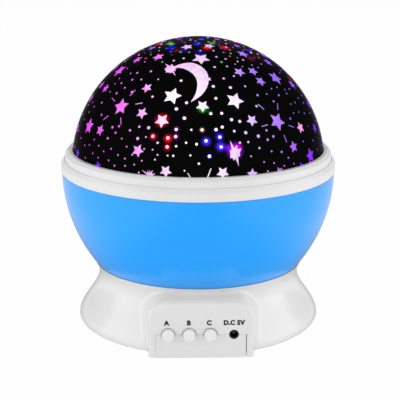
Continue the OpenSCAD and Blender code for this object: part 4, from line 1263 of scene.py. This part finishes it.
@dataclass
class BaseShell:
    """The white base: a flared foot, and the control panel that grows out of it."""

    neck_r: float = 46.0
    neck_z: float = 23.0
    foot_ease: float = 5.0
    neck_ease: float = 7.5
    rim_flare: float = 9.0
    foot_edge: float = 2.0
    front_edge: float = 0.8
    wall: float = 2.0
    deck_low: float = 17.0
    deck_high: float = 18.6
    panel_w: float = 45.2
    panel_h: float = 24.6
    corner_r: float = 6.5
    face_edge: float = 1.5
    side_fillet: float = 5.0
    foot_fillet: float = 1.6
    ledge_fillet: float = 1.8
    rim_gap: float = 0.2
    rim_edge: float = 0.12
    core_r: float = 36.4
    core_z: float = 12.5
    lip_z: float = 28.6
    blend: int = 10
    groove: float = 0.4
    groove_back: float = 2.4
    groove_w: float = 0.5
    key_hole: float = 2.95
    jack_hole: float = 2.1
    dense: float = 0.36
    coarse: float = 1.3

    def __post_init__(self) -> None:
        """Reads the base's place from the frame, and works out the flare."""
        low, high = span("base_shell")
        self.foot_r, self.low, self.panel_y = high[0], low[2], -low[1]
        bowl = span("bowl")[1]
        self.bowl_r, self.bowl_top = bowl[0], bowl[2] - Bowl.spigot
        self.button_xs = tuple(middle(name, 0) for name in ("button_a", "button_b", "button_c"))
        self.button_z = middle("button_a", 2)
        self.jack_x = middle("dc_jack_pin", 0)
        t = np.linspace(0, 1, 240)
        ends = np.array([
            (self.foot_r, self.low + self.foot_edge),
            (self.foot_r, self.low + self.foot_edge + self.foot_ease),
            (self.neck_r, self.neck_z - self.neck_ease), (self.neck_r, self.neck_z)])
        weights = ((1 - t) ** 3, 3 * (1 - t) ** 2 * t, 3 * (1 - t) * t * t, t ** 3)
        curve = sum(w[:, None] * end for w, end in zip(weights, ends))
        above = np.linspace(self.neck_z, self.neck_z + 8, 40)[1:]
        self.heights = np.concatenate([[-20], curve[:, 1], above])
        self.radii = np.concatenate([
            [self.foot_r], curve[:, 0], self.neck_r + (above - self.neck_z) ** 2 / (2 * self.rim_flare)])
        self.slopes = np.gradient(self.radii, self.heights)

    def outside(self, x: np.ndarray, y: np.ndarray, z: np.ndarray) -> np.ndarray:
        """Gives about how far a place lies outside the flare and the panel, in millimetres.

        Args:
            x, y, z: The place, in millimetres.

        Returns:
            The distance, below 0 inside.
        """
        slope = np.interp(z, self.heights, self.slopes)
        flare = (np.hypot(x, y) - np.interp(z, self.heights, self.radii)) / np.hypot(1, slope)
        across = np.abs(x) - (self.panel_w / 2 - self.corner_r)
        over = z - (self.low + self.panel_h - self.corner_r)
        outline = (np.hypot(np.maximum(across, 0), np.maximum(over, 0))
                   + np.minimum(np.maximum(across, over), 0) - self.corner_r)
        rise = np.clip((z - 15) / 6, 0, 1)
        behind = (-y - self.panel_y + self.groove_back) / self.groove_w
        outline = outline + self.groove * rise * np.exp(-behind ** 2)
        panel = np.where(y < -10, soft_both(outline, -y - self.panel_y, self.face_edge), 99.0)
        fillet = self.side_fillet + (self.ledge_fillet - self.side_fillet) * eased(z, 17, 24)
        fillet = fillet + (self.foot_fillet - self.side_fillet) * eased(-z, -8, 0)
        return soft_either(flare, panel, fillet)

    def shell(self, x: np.ndarray, y: np.ndarray, z: np.ndarray) -> np.ndarray:
        """Gives the distance outside the whole form: its bottom and the bowl's seat cut it."""
        body = self.outside(x, y, z)
        front = np.clip((-y - 52) / 4, 0, 1) * np.clip((self.panel_w / 2 + 2 - np.abs(x)) / 2, 0, 1)
        body = soft_both(body, self.low - z, self.foot_edge * (1 - front) + self.front_edge * front)
        seat = (Bowl.curve_r + self.rim_gap) - np.hypot(
            np.hypot(x, y) - (self.bowl_r - Bowl.curve_r), z - self.bowl_top)
        return soft_both(body, np.maximum(seat, z - self.lip_z), self.rim_edge)

    def columns(self) -> np.ndarray:
        """Gives the angles round the axis at which the skin is cut, close together at the panel."""
        fine = np.linspace(-math.pi, math.pi, 7201) - math.pi / 2
        reach = np.zeros(len(fine) - 1)
        start = np.full(len(fine), 40.0)
        for z in (5.0, 12.0, 19.0, 24.5):
            level = np.full(len(fine), z)
            far = skin(lambda r: self.outside(r * np.cos(fine), r * np.sin(fine), level) < 0,
                       start, start + 30.0, 24)
            reach = np.maximum(reach, np.hypot(np.diff(far), far[:-1] * np.diff(fine)))
        off = np.abs((fine[:-1] + fine[1:]) / 2 + math.pi / 2)
        spacing = self.dense + (self.coarse - self.dense) * np.clip((np.degrees(off) - 33) / 12, 0, 1)
        count = np.concatenate([[0], np.cumsum(reach / spacing)])
        return np.interp(np.linspace(0, count[-1], int(count[-1]) + 1)[:-1], count, fine)

    def section(self, angles: np.ndarray, start: np.ndarray, end: np.ndarray,
                form: Callable[[np.ndarray, np.ndarray, np.ndarray], np.ndarray],
                steps: int, rows: int, tail: int = 0) -> tuple[np.ndarray, np.ndarray]:
        """Finds the skin in each half plane through the axis, along rays from inside the wall.

        Args:
            angles: The half planes' angles.
            start, end: First and last ray's angle in each.
            form: The function that gives the distance outside the form.
            steps: Number of rays.
            rows: Number of points kept, closer together where the skin bends.
            tail: Number of them kept past the highest point, which keeps one itself.

        Returns:
            The points' radius and height, one row of the arrays for each half plane.
        """
        share = np.linspace(0, 1, steps)
        ray = start[:, None] + (end - start)[:, None] * share
        turn = angles[:, None]

        def inside(far: np.ndarray) -> np.ndarray:
            """Tells whether the rays of those lengths end inside the form."""
            r = self.core_r + far * np.cos(ray)
            return form(r * np.cos(turn), r * np.sin(turn), self.core_z + far * np.sin(ray)) < 0

        far = skin(inside, np.zeros(ray.shape), np.full(ray.shape, 36.0), 34)
        r, z = self.core_r + far * np.cos(ray), self.core_z + far * np.sin(ray)
        kept = np.empty((len(angles), rows))
        for k in range(len(angles)):
            dr, dz = np.diff(r[k]), np.diff(z[k])
            length = np.hypot(dr, dz)
            way = np.unwrap(np.arctan2(dz, dr))
            bend = np.minimum(np.abs(np.diff(way, prepend=way[0])), 0.3)
            along = np.concatenate([[0], np.cumsum(length / 0.5 + bend / math.radians(11))])
            tip = along[np.argmax(z[k])] if tail else along[-1]
            past = np.linspace(tip, along[-1], tail + 1)[1:]
            kept[k] = np.interp(np.concatenate([np.linspace(0, tip, rows - tail), past]), along, share)
        weight = np.exp(-np.linspace(-2, 2, 2 * self.blend + 1) ** 2)
        near = [np.roll(kept, k - self.blend, 0) * w for k, w in enumerate(weight / weight.sum())]
        kept = np.sum(near, 0)
        out_r, out_z = np.empty(kept.shape), np.empty(kept.shape)
        for k in range(len(angles)):
            out_r[k], out_z[k] = np.interp(kept[k], share, r[k]), np.interp(kept[k], share, z[k])
        return out_r, out_z

    def panel_drills(self) -> list[Piece]:
        """Makes the cutters for the buttons' holes and the jack's."""
        face = -self.panel_y
        keys = [placed(drill(self.key_hole, 5, 0.15), facing_front(x, face, self.button_z))
                for x in self.button_xs]
        return [*keys, placed(drill(self.jack_hole, 5), facing_front(self.jack_x, face, self.button_z))]

    def build(self) -> Piece:
        """Builds the shell's skins, cuts its holes and the cover's notch, and gives it."""
        angles = self.columns()
        count = len(angles)
        bottom_z = np.full(count, self.low)
        inner = skin(lambda r: self.outside(r * np.cos(angles), r * np.sin(angles), bottom_z) < -self.wall,
                     np.full(count, 44.0), np.full(count, 66.0), 30)
        neck_in = self.neck_r - self.wall
        reach = Bowl.curve_r + self.rim_gap
        seat = self.bowl_top - math.sqrt(reach ** 2 - (neck_in - (self.bowl_r - Bowl.curve_r)) ** 2)
        bottom = np.arctan2(self.low - self.core_z, inner - self.core_r)
        top = np.full(count, math.atan2(seat - self.core_z, neck_in - self.core_r))
        ceiling = np.full(count, math.atan2(self.deck_low - self.core_z, neck_in - self.core_r))
        out_r, out_z = self.section(angles, bottom, top, self.shell, 800, 116, 16)
        in_r, in_z = self.section(
            angles, ceiling, bottom,
            lambda x, y, z: np.maximum(self.outside(x, y, z) + self.wall, z - self.deck_low), 220, 34)
        out_z[:, 0] = self.low
        r = np.concatenate([out_r, in_r[:, :-1]], 1)
        z = np.concatenate([out_z, in_z[:, :-1]], 1)
        rows = r.shape[1]
        turn = angles[:, None]
        points = np.stack([r * np.cos(turn), r * np.sin(turn), z], 2).reshape(-1, 3)
        faces = []
        for k in range(count):
            a, b = k * rows, (k + 1) % count * rows
            for j in range(rows):
                n = (j + 1) % rows
                faces.append([a + j, b + j, b + n, a + n])
        made = solid("base_shell_skin", points, faces)
        front = -self.panel_y
        notch = block("notch", (-19.5, front - 1, self.low - 2), (19.5, front + 4, self.button_z))
        cut(made, [*self.panel_drills(), notch])
        WHITE.dress(made)
        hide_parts("base_shell")
        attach(made, "base")
        return made

    def build_deck(self) -> Piece:
        """Builds the deck across the shell, with the motor's opening."""
        r, column_r, motor_r = self.neck_r - self.wall + 0.02, 4.5, 3.9
        made = turned("base_deck", [
            (column_r, self.deck_low), (r, self.deck_low),
            (r, self.deck_high), (column_r, self.deck_high)], 128)
        cut(made, [placed(drill(motor_r, 6), moved(0, middle("motor_shaft", 1), self.deck_high + 1))])
        INNER.dress(made)
        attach(made, "base")
        return made


def repeated(name: str, shape: Piece, places: list[tuple], finish: Finish) -> Piece:
    """Puts a shape at several places with Geometry Nodes, as one piece.

    Args:
        name: The piece's name.
        shape: What is repeated, which is thrown away afterwards.
        places: (x, y, z) in millimetres for each copy.
        finish: What the copies are made of.

    Returns:
        The piece, as a plain mesh.
    """
    tree, given, result = new_group(
        name, {"Geometry": "Geometry", "Shape": "Object", "Size": "Float", "Finish": "Material"},
        {"Geometry": "Geometry"}, "GeometryNodeTree")
    source = place(tree, "GeometryNodeObjectInfo", {"Object": given["Shape"]})
    put = geometry(tree, "InstanceOnPoints", {
        "Points": given["Geometry"], "Instance": source.outputs["Geometry"], "Scale": given["Size"]})
    plain = geometry(tree, "RealizeInstances", {"Geometry": put})
    feed(tree, result, {0: geometry(tree, "SetMaterial", {"Geometry": plain, "Material": given["Finish"]})})
    mesh = bpy.data.meshes.new(name)
    mesh.from_pydata([Vector(p) * MM for p in places], [], [])
    made = run_tree(added(name, mesh), tree, {"Shape": shape, "Size": 1.0, "Finish": finish.material()})
    bpy.data.objects.remove(shape)
    return made


def corners_of(node: str, radius: float, z: float) -> list[tuple]:
    """Gives the four places of a node's pieces of that radius, mirrored on both axes."""
    high = span(node)[1]
    x, y = high[0] - radius, high[1] - radius
    return [(sx * x, sy * y, z) for sx in (-1, 1) for sy in (-1, 1)]


@dataclass
class Underside:
    """The cover under the base: plate, tongue in the panel, battery box, door, feet and screws."""

    shell: BaseShell
    plate: float = 2.0
    fit: float = 0.2
    tongue: Point = (-19.45, 19.22)
    door_play: float = 0.2
    screw_r: float = 1.9
    foot_r: float = 4.0
    box_x: float = 25.4
    box_front: float = -11.2
    box_back: float = 31.4
    box_wall: float = 1.4
    box_top: float = 14.9

    def __post_init__(self) -> None:
        """Reads the underside's level, the plate's radius and the door screw's place."""
        self.low = self.shell.low
        self.plate_r = self.shell.foot_r - self.shell.wall - self.fit
        self.ear_y = middle("door_screw", 1)

    def build(self) -> list[Piece]:
        """Builds every piece of the underside, and gives them."""
        return [self.build_cover(), self.build_door(), *self.build_screws(), self.build_feet()]

    def sink(self, x: float, y: float, r: float, mouth: float, cone: float, deep: float) -> Piece:
        """Makes the cutter of a screw's hole: its mouth's radius, and how far mouth, cone and bore go up."""
        outline = [(0, -0.5), (r, -0.5), (r, mouth), (1.1, cone), (1.1, deep), (0, deep)]
        return placed(turned("sink", outline, 32), moved(x, y, self.low))

    def build_cover(self) -> Piece:
        """Builds the plate with its panel part, tongue and battery box."""
        shell = self.shell
        half = shell.panel_w / 2 - shell.wall - self.fit
        face = shell.wall + self.fit - shell.panel_y
        side = math.degrees(math.acos(half / self.plate_r))
        outline = arc(0, 0, self.plate_r, -side, 180 + side, 150)
        outline += rounded([(-half, outline[-1][1]), (-half, face, 0.5), (half, face, 0.5),
                            (half, outline[0][1])])[1:-1]
        made = slab("plate", outline, self.low, self.low + self.plate, (0.4, 0.1))
        x, front, back, wall = self.box_x, self.box_front, self.box_back, self.box_wall
        box = block("box", (-x - wall, front - wall, self.low + self.plate - 0.01),
                    (x + wall, back + wall, self.box_top), 1.0, 0.0)
        cut(box, [block("inside", (-x, front, -1), (x, back, self.box_top - 1.2), 0.0)])
        ear = arc(0, self.ear_y, 4.2, 180, 360, 16) + [(4.2, front + 1), (-4.2, front + 1)]
        cutters = [
            slab("ear", ear, self.low - 1, self.low + 1.5, (0, 0)),
            block("opening", (-x, front, self.low - 1), (x, back, self.low + 9)),
        ]
        cutters += [self.sink(x, y, 2.3, 0.35, 1.4, 4)
                    for x, y, _ in corners_of("base_screws", self.screw_r, self.low)]
        recess_r = self.foot_r + 0.15
        recess = [(0, -0.5), (recess_r, -0.5), (recess_r, 0.4), (0, 0.4)]
        cutters += [placed(turned("recess", recess, 48), moved(*corner))
                    for corner in corners_of("rubber_feet", self.foot_r, self.low)]
        whole = joined("bottom_cover", [cut(made, cutters), box, self.build_tongue()])
        WHITE_COVER.dress(whole)
        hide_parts("base_plate")
        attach(whole, "base")
        return whole

    def build_tongue(self) -> Piece:
        """Builds the cover's tongue, which closes the panel below the buttons."""
        shell = self.shell
        x0, x1 = self.tongue
        top = shell.button_z - 0.1 - self.low
        outline = rounded([(x0, 0.02, 0.7), (x1, 0.02, 0.7), (x1, top, 0.3), (x0, top, 0.3)])
        made = slab("tongue", outline, 0, shell.wall, (0.08, 0.12), 2)
        placed(made, facing_front(0, -shell.panel_y + shell.wall, self.low))
        return cut(made, shell.panel_drills())

    def build_door(self) -> Piece:
        """Builds the battery door with its ear, its grip ribs and its hinge barrel."""
        high = span("battery_door")[1]
        x1, peg_x, barrel_y = high[0] - 1.4, high[0], high[1] - 1.2
        ear_r, thick = 4.0, 1.4
        box_low = self.box_front + self.door_play
        outline = arc(0, self.ear_y, ear_r, 180, 360, 20)
        outline += rounded([(ear_r, box_low), (x1, box_low, 0.6), (x1, barrel_y), (-x1, barrel_y),
                            (-x1, box_low, 0.6), (-ear_r, box_low)])
        made = slab("door", outline, self.low, self.low + thick, (0.3, 0.1))
        grips = [block("grip", (-9, y, self.low - 1), (9, y + 0.8, self.low + 0.45), 0.35)
                 for y in (-6.5, -4.9, -3.3, -1.7)]
        cut(made, [self.sink(0, self.ear_y, 2.0, 0.2, 1.2, 3), *grips])
        hinge = [turned(name, rounded([(0, -x), (r, -x, edge), (r, x, edge), (0, x)]), segments)
                 for name, r, x, edge, segments in (
                     ("barrel", 1.2, x1, 0.2, 32), ("pegs", 0.7, peg_x, 0.15, 24))]
        for part in hinge:
            placed(part, moved(0, barrel_y, self.low + 1.2) @ Matrix.Rotation(math.radians(90), 4, "Y"))
        whole = joined("battery_cover", [made, *hinge])
        WHITE_COVER.dress(whole)
        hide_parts("battery_door")
        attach(whole, "door")
        return whole

    def screw(self, length: float) -> Piece:
        """Makes a flat-head screw that points up from z = 0, with a cross in its head."""
        thread = [(0.86 + 0.12 * (k % 2), 1.1 + 0.25 * k) for k in range(int((length - 2) / 0.25))]
        outline = [(0, 0), (1.75, 0), (1.88, 0.12), (1.0, 1.0), *thread, (0.8, length - 0.6), (0, length)]
        arms = [block("arm", (-1.15, -0.22, -1), (1.15, 0.22, 0.6)) for _ in range(2)]
        for arm, turn in zip(arms, (20, 110)):
            placed(arm, Matrix.Rotation(math.radians(turn), 4, "Z"))
        return cut(turned("screw", outline, 32), arms)

    def build_screws(self) -> list[Piece]:
        """Puts the base screws and the door screw in."""
        low, high = span("base_screws")
        base = repeated("cover_screws", self.screw(high[2] - low[2]),
                        corners_of("base_screws", self.screw_r, self.low), ZINC)
        low, high = span("door_screw")
        door = repeated("door_fixing", self.screw(high[2] - low[2]), [(0, self.ear_y, self.low)], ZINC)
        for piece, body, node in ((base, "base", "base_screws"), (door, "door", "door_screw")):
            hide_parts(node)
            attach(piece, body)
        return [base, door]

    def build_feet(self) -> Piece:
        """Puts the four rubber feet in, with soft edges and a shallow dish."""
        low, high = span("rubber_feet")
        r, h = self.foot_r, high[2] - low[2]
        foot = turned("foot", rounded([
            (0, 0.12), (2.6, 0.12, 0.3), (3.0, 0, 0.2), (r, 0, 0.35), (r, h), (0, h)]), 48)
        made = repeated("feet_pads", foot, corners_of("rubber_feet", r, low[2]), RUBBER)
        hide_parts("rubber_feet")
        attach(made, "base")
        return made


# ---------------------------------------------------------------- the control panel


class Key(Enum):
    """The three push buttons: node and body."""

    A = ("button_a", "key_a")
    B = ("button_b", "key_b")
    C = ("button_c", "key_c")


@dataclass
class ControlPanel:
    """The push buttons and the panel's lettering."""

    shell: BaseShell
    crown: float = 0.25
    edge: float = 0.7
    flange: float = 0.7
    flange_h: float = 0.8
    letter_h: float = 2.4
    letter_z: float = 17.0
    letter_bold: float = 0.18
    ink: float = 0.03

    def build(self) -> list[Piece]:
        """Builds the caps and the letters, and gives them."""
        caps = [self.cap(key) for key in Key]
        words = {"A": self.shell.button_xs[0] - 0.6, "B": self.shell.button_xs[1] - 0.2,
                 "C": self.shell.button_xs[2] - 0.5, "D.C 5V": self.shell.jack_x}
        letters = joined("panel_letters", [self.word(text, x) for text, x in words.items()])
        INK.dress(letters)
        sleeve = turned("jack_mouth", rounded([
            (1.5, -1.9), (2.1, -1.9), (2.1, 0), (1.95, 0, 0.05), (1.5, -0.3, 0.1)]), 64)
        placed(sleeve, facing_front(self.shell.jack_x, -self.shell.panel_y, self.shell.button_z))
        BLACK.dress(sleeve)
        for piece in (letters, sleeve):
            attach(piece, "base")
        return [*caps, letters, sleeve]

    def cap(self, key: Key) -> Piece:
        """Turns a push button: a crowned cap with a soft edge, and the flange behind the panel."""
        node, body = key.value
        low, high = span(node)
        r, depth = (high[2] - low[2]) / 2, high[1] - low[1]
        cap_r, corner_z = r - self.flange, depth - self.crown
        outline = [(0, 0), (r, 0), (r, self.flange_h), (cap_r, self.flange_h), (cap_r, corner_z - self.edge)]
        outline += arc(cap_r - self.edge, corner_z - self.edge, self.edge, 0, 82, 7)
        outline += [(cap_r * k / 8, depth - self.crown * (k / 8) ** 2) for k in range(5, -1, -1)]
        made = turned(node + "_cap", outline, 64)
        placed(made, facing_front(middle(node, 0), high[1], middle(node, 2)))
        WHITE_CAP.dress(made)
        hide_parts(node)
        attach(made, body)
        return made

    def word(self, text: str, x: float) -> Piece:
        """Writes a word on the panel's face, centred at x."""
        curve = bpy.data.curves.new(text, "FONT")
        curve.body, curve.align_x = text, "CENTER"
        curve.size = (self.letter_h - 2 * self.letter_bold) * MM / 0.72
        curve.offset = self.letter_bold * MM
        curve.extrude = self.ink * MM
        curve.space_character = 1.04
        curve.resolution_u = 4
        loose = added(text, curve)
        graph = bpy.context.evaluated_depsgraph_get()
        mesh = bpy.data.meshes.new_from_object(loose.evaluated_get(graph), depsgraph=graph)
        bpy.data.objects.remove(loose)
        z = self.letter_z - self.letter_h / 2 + self.letter_bold
        return placed(added("word", welded(mesh)), facing_front(x, -self.shell.panel_y, z))


# ---------------------------------------------------------------- what is inside


@dataclass
class InnerWorks:
    """The parts inside the lamp keep their own shapes, and are dressed here."""

    finishes: dict = field(default_factory=lambda: {
        CELL: ("battery_cells",),
        NICKEL: ("battery_springs", "battery_contacts"),
        VINYL: ("battery_wires", "motor_wires", "led_wires"),
        GREEN_BOARD: ("main_board",),
        WHITE_BOARD: ("led_board",),
        ZINC: ("board_screws", "motor_screws", "column_screws", "turntable_screws"),
        BLACK: ("board_components", "switch_bodies", "dc_jack", "plunger_a", "plunger_b", "plunger_c"),
        BRASS: ("thrust_washer",),
        CAN: ("gear_motor", "motor_shaft"),
        INNER: ("lamp_column", "led_holder", "turntable"),
        NYLON: ("ring_gear", "drive_pinion"),
        BLACKENED: ("column_circlip", "dc_jack_pin"),
        Epoxy("white_light", (0.95, 0.95, 0.9)): ("led_white",),
        Epoxy("red_light", (0.9, 0.06, 0.05)): ("led_red",),
        Epoxy("green_light", (0.06, 0.8, 0.1)): ("led_green",),
        Epoxy("blue_light", (0.05, 0.12, 0.95)): ("led_blue",),
    })

    def build(self) -> list[str]:
        """Dresses every node, and gives their names."""
        dressed = []
        for finish, nodes in self.finishes.items():
            for node in nodes:
                finish.dress(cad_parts[node])
                dressed.append(node)
        return dressed


# ---------------------------------------------------------------- studio


@dataclass
class Studio:
    """A pale floor and plain soft light, with the camera a little above the lamp."""

    azimuth: float = -1.3
    elevation: float = 15.25
    distance: float = 566.0
    aim: float = 55.5
    lens: float = 110.4
    shift: float = 0.0046

    def build(self) -> None:
        """Sets the camera, the lights, the world and the floor."""
        self.camera()
        self.lamps()
        self.world()
        self.floor()

    @staticmethod
    def aimed(name: str, data: bpy.types.ID, where: Vector, look: Vector) -> Piece:
        """Adds a camera or a light at a place, in metres, that looks in a direction."""
        made = added(name, data)
        made.location = where
        made.rotation_euler = look.to_track_quat("-Z", "Y").to_euler()
        return made

    def camera(self) -> None:
        """Adds the camera and makes it the scene's."""
        data = bpy.data.cameras.new("camera")
        data.lens, data.sensor_width, data.shift_x = self.lens, 36.0, self.shift
        data.clip_start, data.clip_end = 0.01, 20
        a, e = math.radians(self.azimuth), math.radians(self.elevation)
        away = Vector((math.sin(a) * math.cos(e), -math.cos(a) * math.cos(e), math.sin(e)))
        where = Vector((0, 0, self.aim * MM)) + away * self.distance * MM
        bpy.context.scene.camera = self.aimed("camera", data, where, -away)

    def lamps(self) -> None:
        """Adds soft boxes: name, place and size in metres, power, and whether gloss shows it."""
        boxes = (
            ("left_box", (-0.95, -0.2, 0.36), 0.9, 3.4, True),
            ("right_box", (0.95, -0.15, 0.36), 0.9, 3.8, True),
            ("high_box", (-0.2, -0.9, 0.95), 0.9, 0.6, False),
            ("front_box", (-0.1, -1.15, 0.17), 0.45, 1.5, True),
            ("back_box", (0.1, 1.0, 0.8), 0.8, 1.8, True),
        )
        for name, where, size, power, shines in boxes:
            data = bpy.data.lights.new(name, "AREA")
            data.shape, data.size, data.energy = "SQUARE", size, power
            made = self.aimed(name, data, Vector(where), Vector((0, 0, 0.05)) - Vector(where))
            made.visible_glossy = shines

    @staticmethod
    def white(tree: Tree, kind: str, strength: Value) -> Socket:
        """Adds a white Background or Emission of that strength, and gives its shader."""
        return place(tree, "ShaderNode" + kind, {"Color": (1, 1, 1, 1), "Strength": strength}).outputs[0]

    @staticmethod
    def mixed(tree: Tree, share: Value, first: Value, second: Value) -> Socket:
        """Mixes two shaders, by the second one's share."""
        return place(tree, "ShaderNodeMixShader", {0: share, 1: first, 2: second}).outputs[0]

    def world(self) -> None:
        """Makes the surroundings white to the eye and to gloss, and softer as a light."""
        world = bpy.data.worlds.new("studio")
        tree = cleared(world)
        way = axes(tree, "Generated")
        sky = self.white(tree, "Background", mapped(tree, way[2], 0.25, 0.8, 0.93, 0.52, "SMOOTHSTEP"))
        gloss = self.white(tree, "Background", mapped(tree, way[1], -0.9, 0.3, 0.03, 0.32, "SMOOTHSTEP"))
        light = self.mixed(tree, rays(tree, "Glossy"), sky, gloss)
        plain = self.white(tree, "Background", 1.0)
        place(tree, "ShaderNodeOutputWorld", {
            0: self.mixed(tree, rays(tree, "Camera", "Transmission"), light, plain)})
        bpy.context.scene.world = world

    def floor(self) -> None:
        """Lays the floor: white to the eye, with the lamp's soft shadow kept."""
        made = turned("floor", [(0, -2), (4000, -2), (4000, 0), (0, 0)], 64)
        material = bpy.data.materials.new("pale_floor")
        tree = cleared(material)
        seen = sums(tree, "MULTIPLY", rays(tree, "Camera", "Transmission"), 0.95)
        thrown = sums(tree, "MULTIPLY", rays(tree, "Diffuse"), 0.6)
        plain = place(tree, "ShaderNodeBsdfDiffuse", {"Color": (0.92, 0.92, 0.92, 1)}).outputs[0]
        lit_up = self.mixed(
            tree, sums(tree, "MAXIMUM", seen, thrown), plain, self.white(tree, "Emission", 1.0))
        beside = sums(tree, "ABSOLUTE", axes(tree, "Object")[0])
        dim = self.white(tree, "Emission", mapped(tree, beside, 0.05, 0.13, 0.25, 0.75, "SMOOTHSTEP"))
        place(tree, "ShaderNodeOutputMaterial", {
            "Surface": self.mixed(tree, rays(tree, "Glossy"), lit_up, dim)})
        made.data.materials.append(material)


def main() -> None:
    """Builds the lamp's sub-assemblies in order and reports each piece."""
    logging.basicConfig(level=logging.INFO, format="%(message)s")
    bpy.context.scene.view_settings.view_transform = "Standard"
    dome = StarDome()
    shell = BaseShell()
    pieces = [dome.build()]
    pieces += StarPrint(dome).build()
    pieces += [DomeRing().build(dome), Bowl().build(), shell.build(), shell.build_deck()]
    pieces += Underside(shell).build()
    pieces += ControlPanel(shell).build()
    for piece in pieces:
        log.info("%s: %d faces", piece.name, len(piece.data.polygons))
    log.info("dressed inside: %s", ", ".join(InnerWorks().build()))
    Studio().build()


if __name__ == "__main__":
    main()
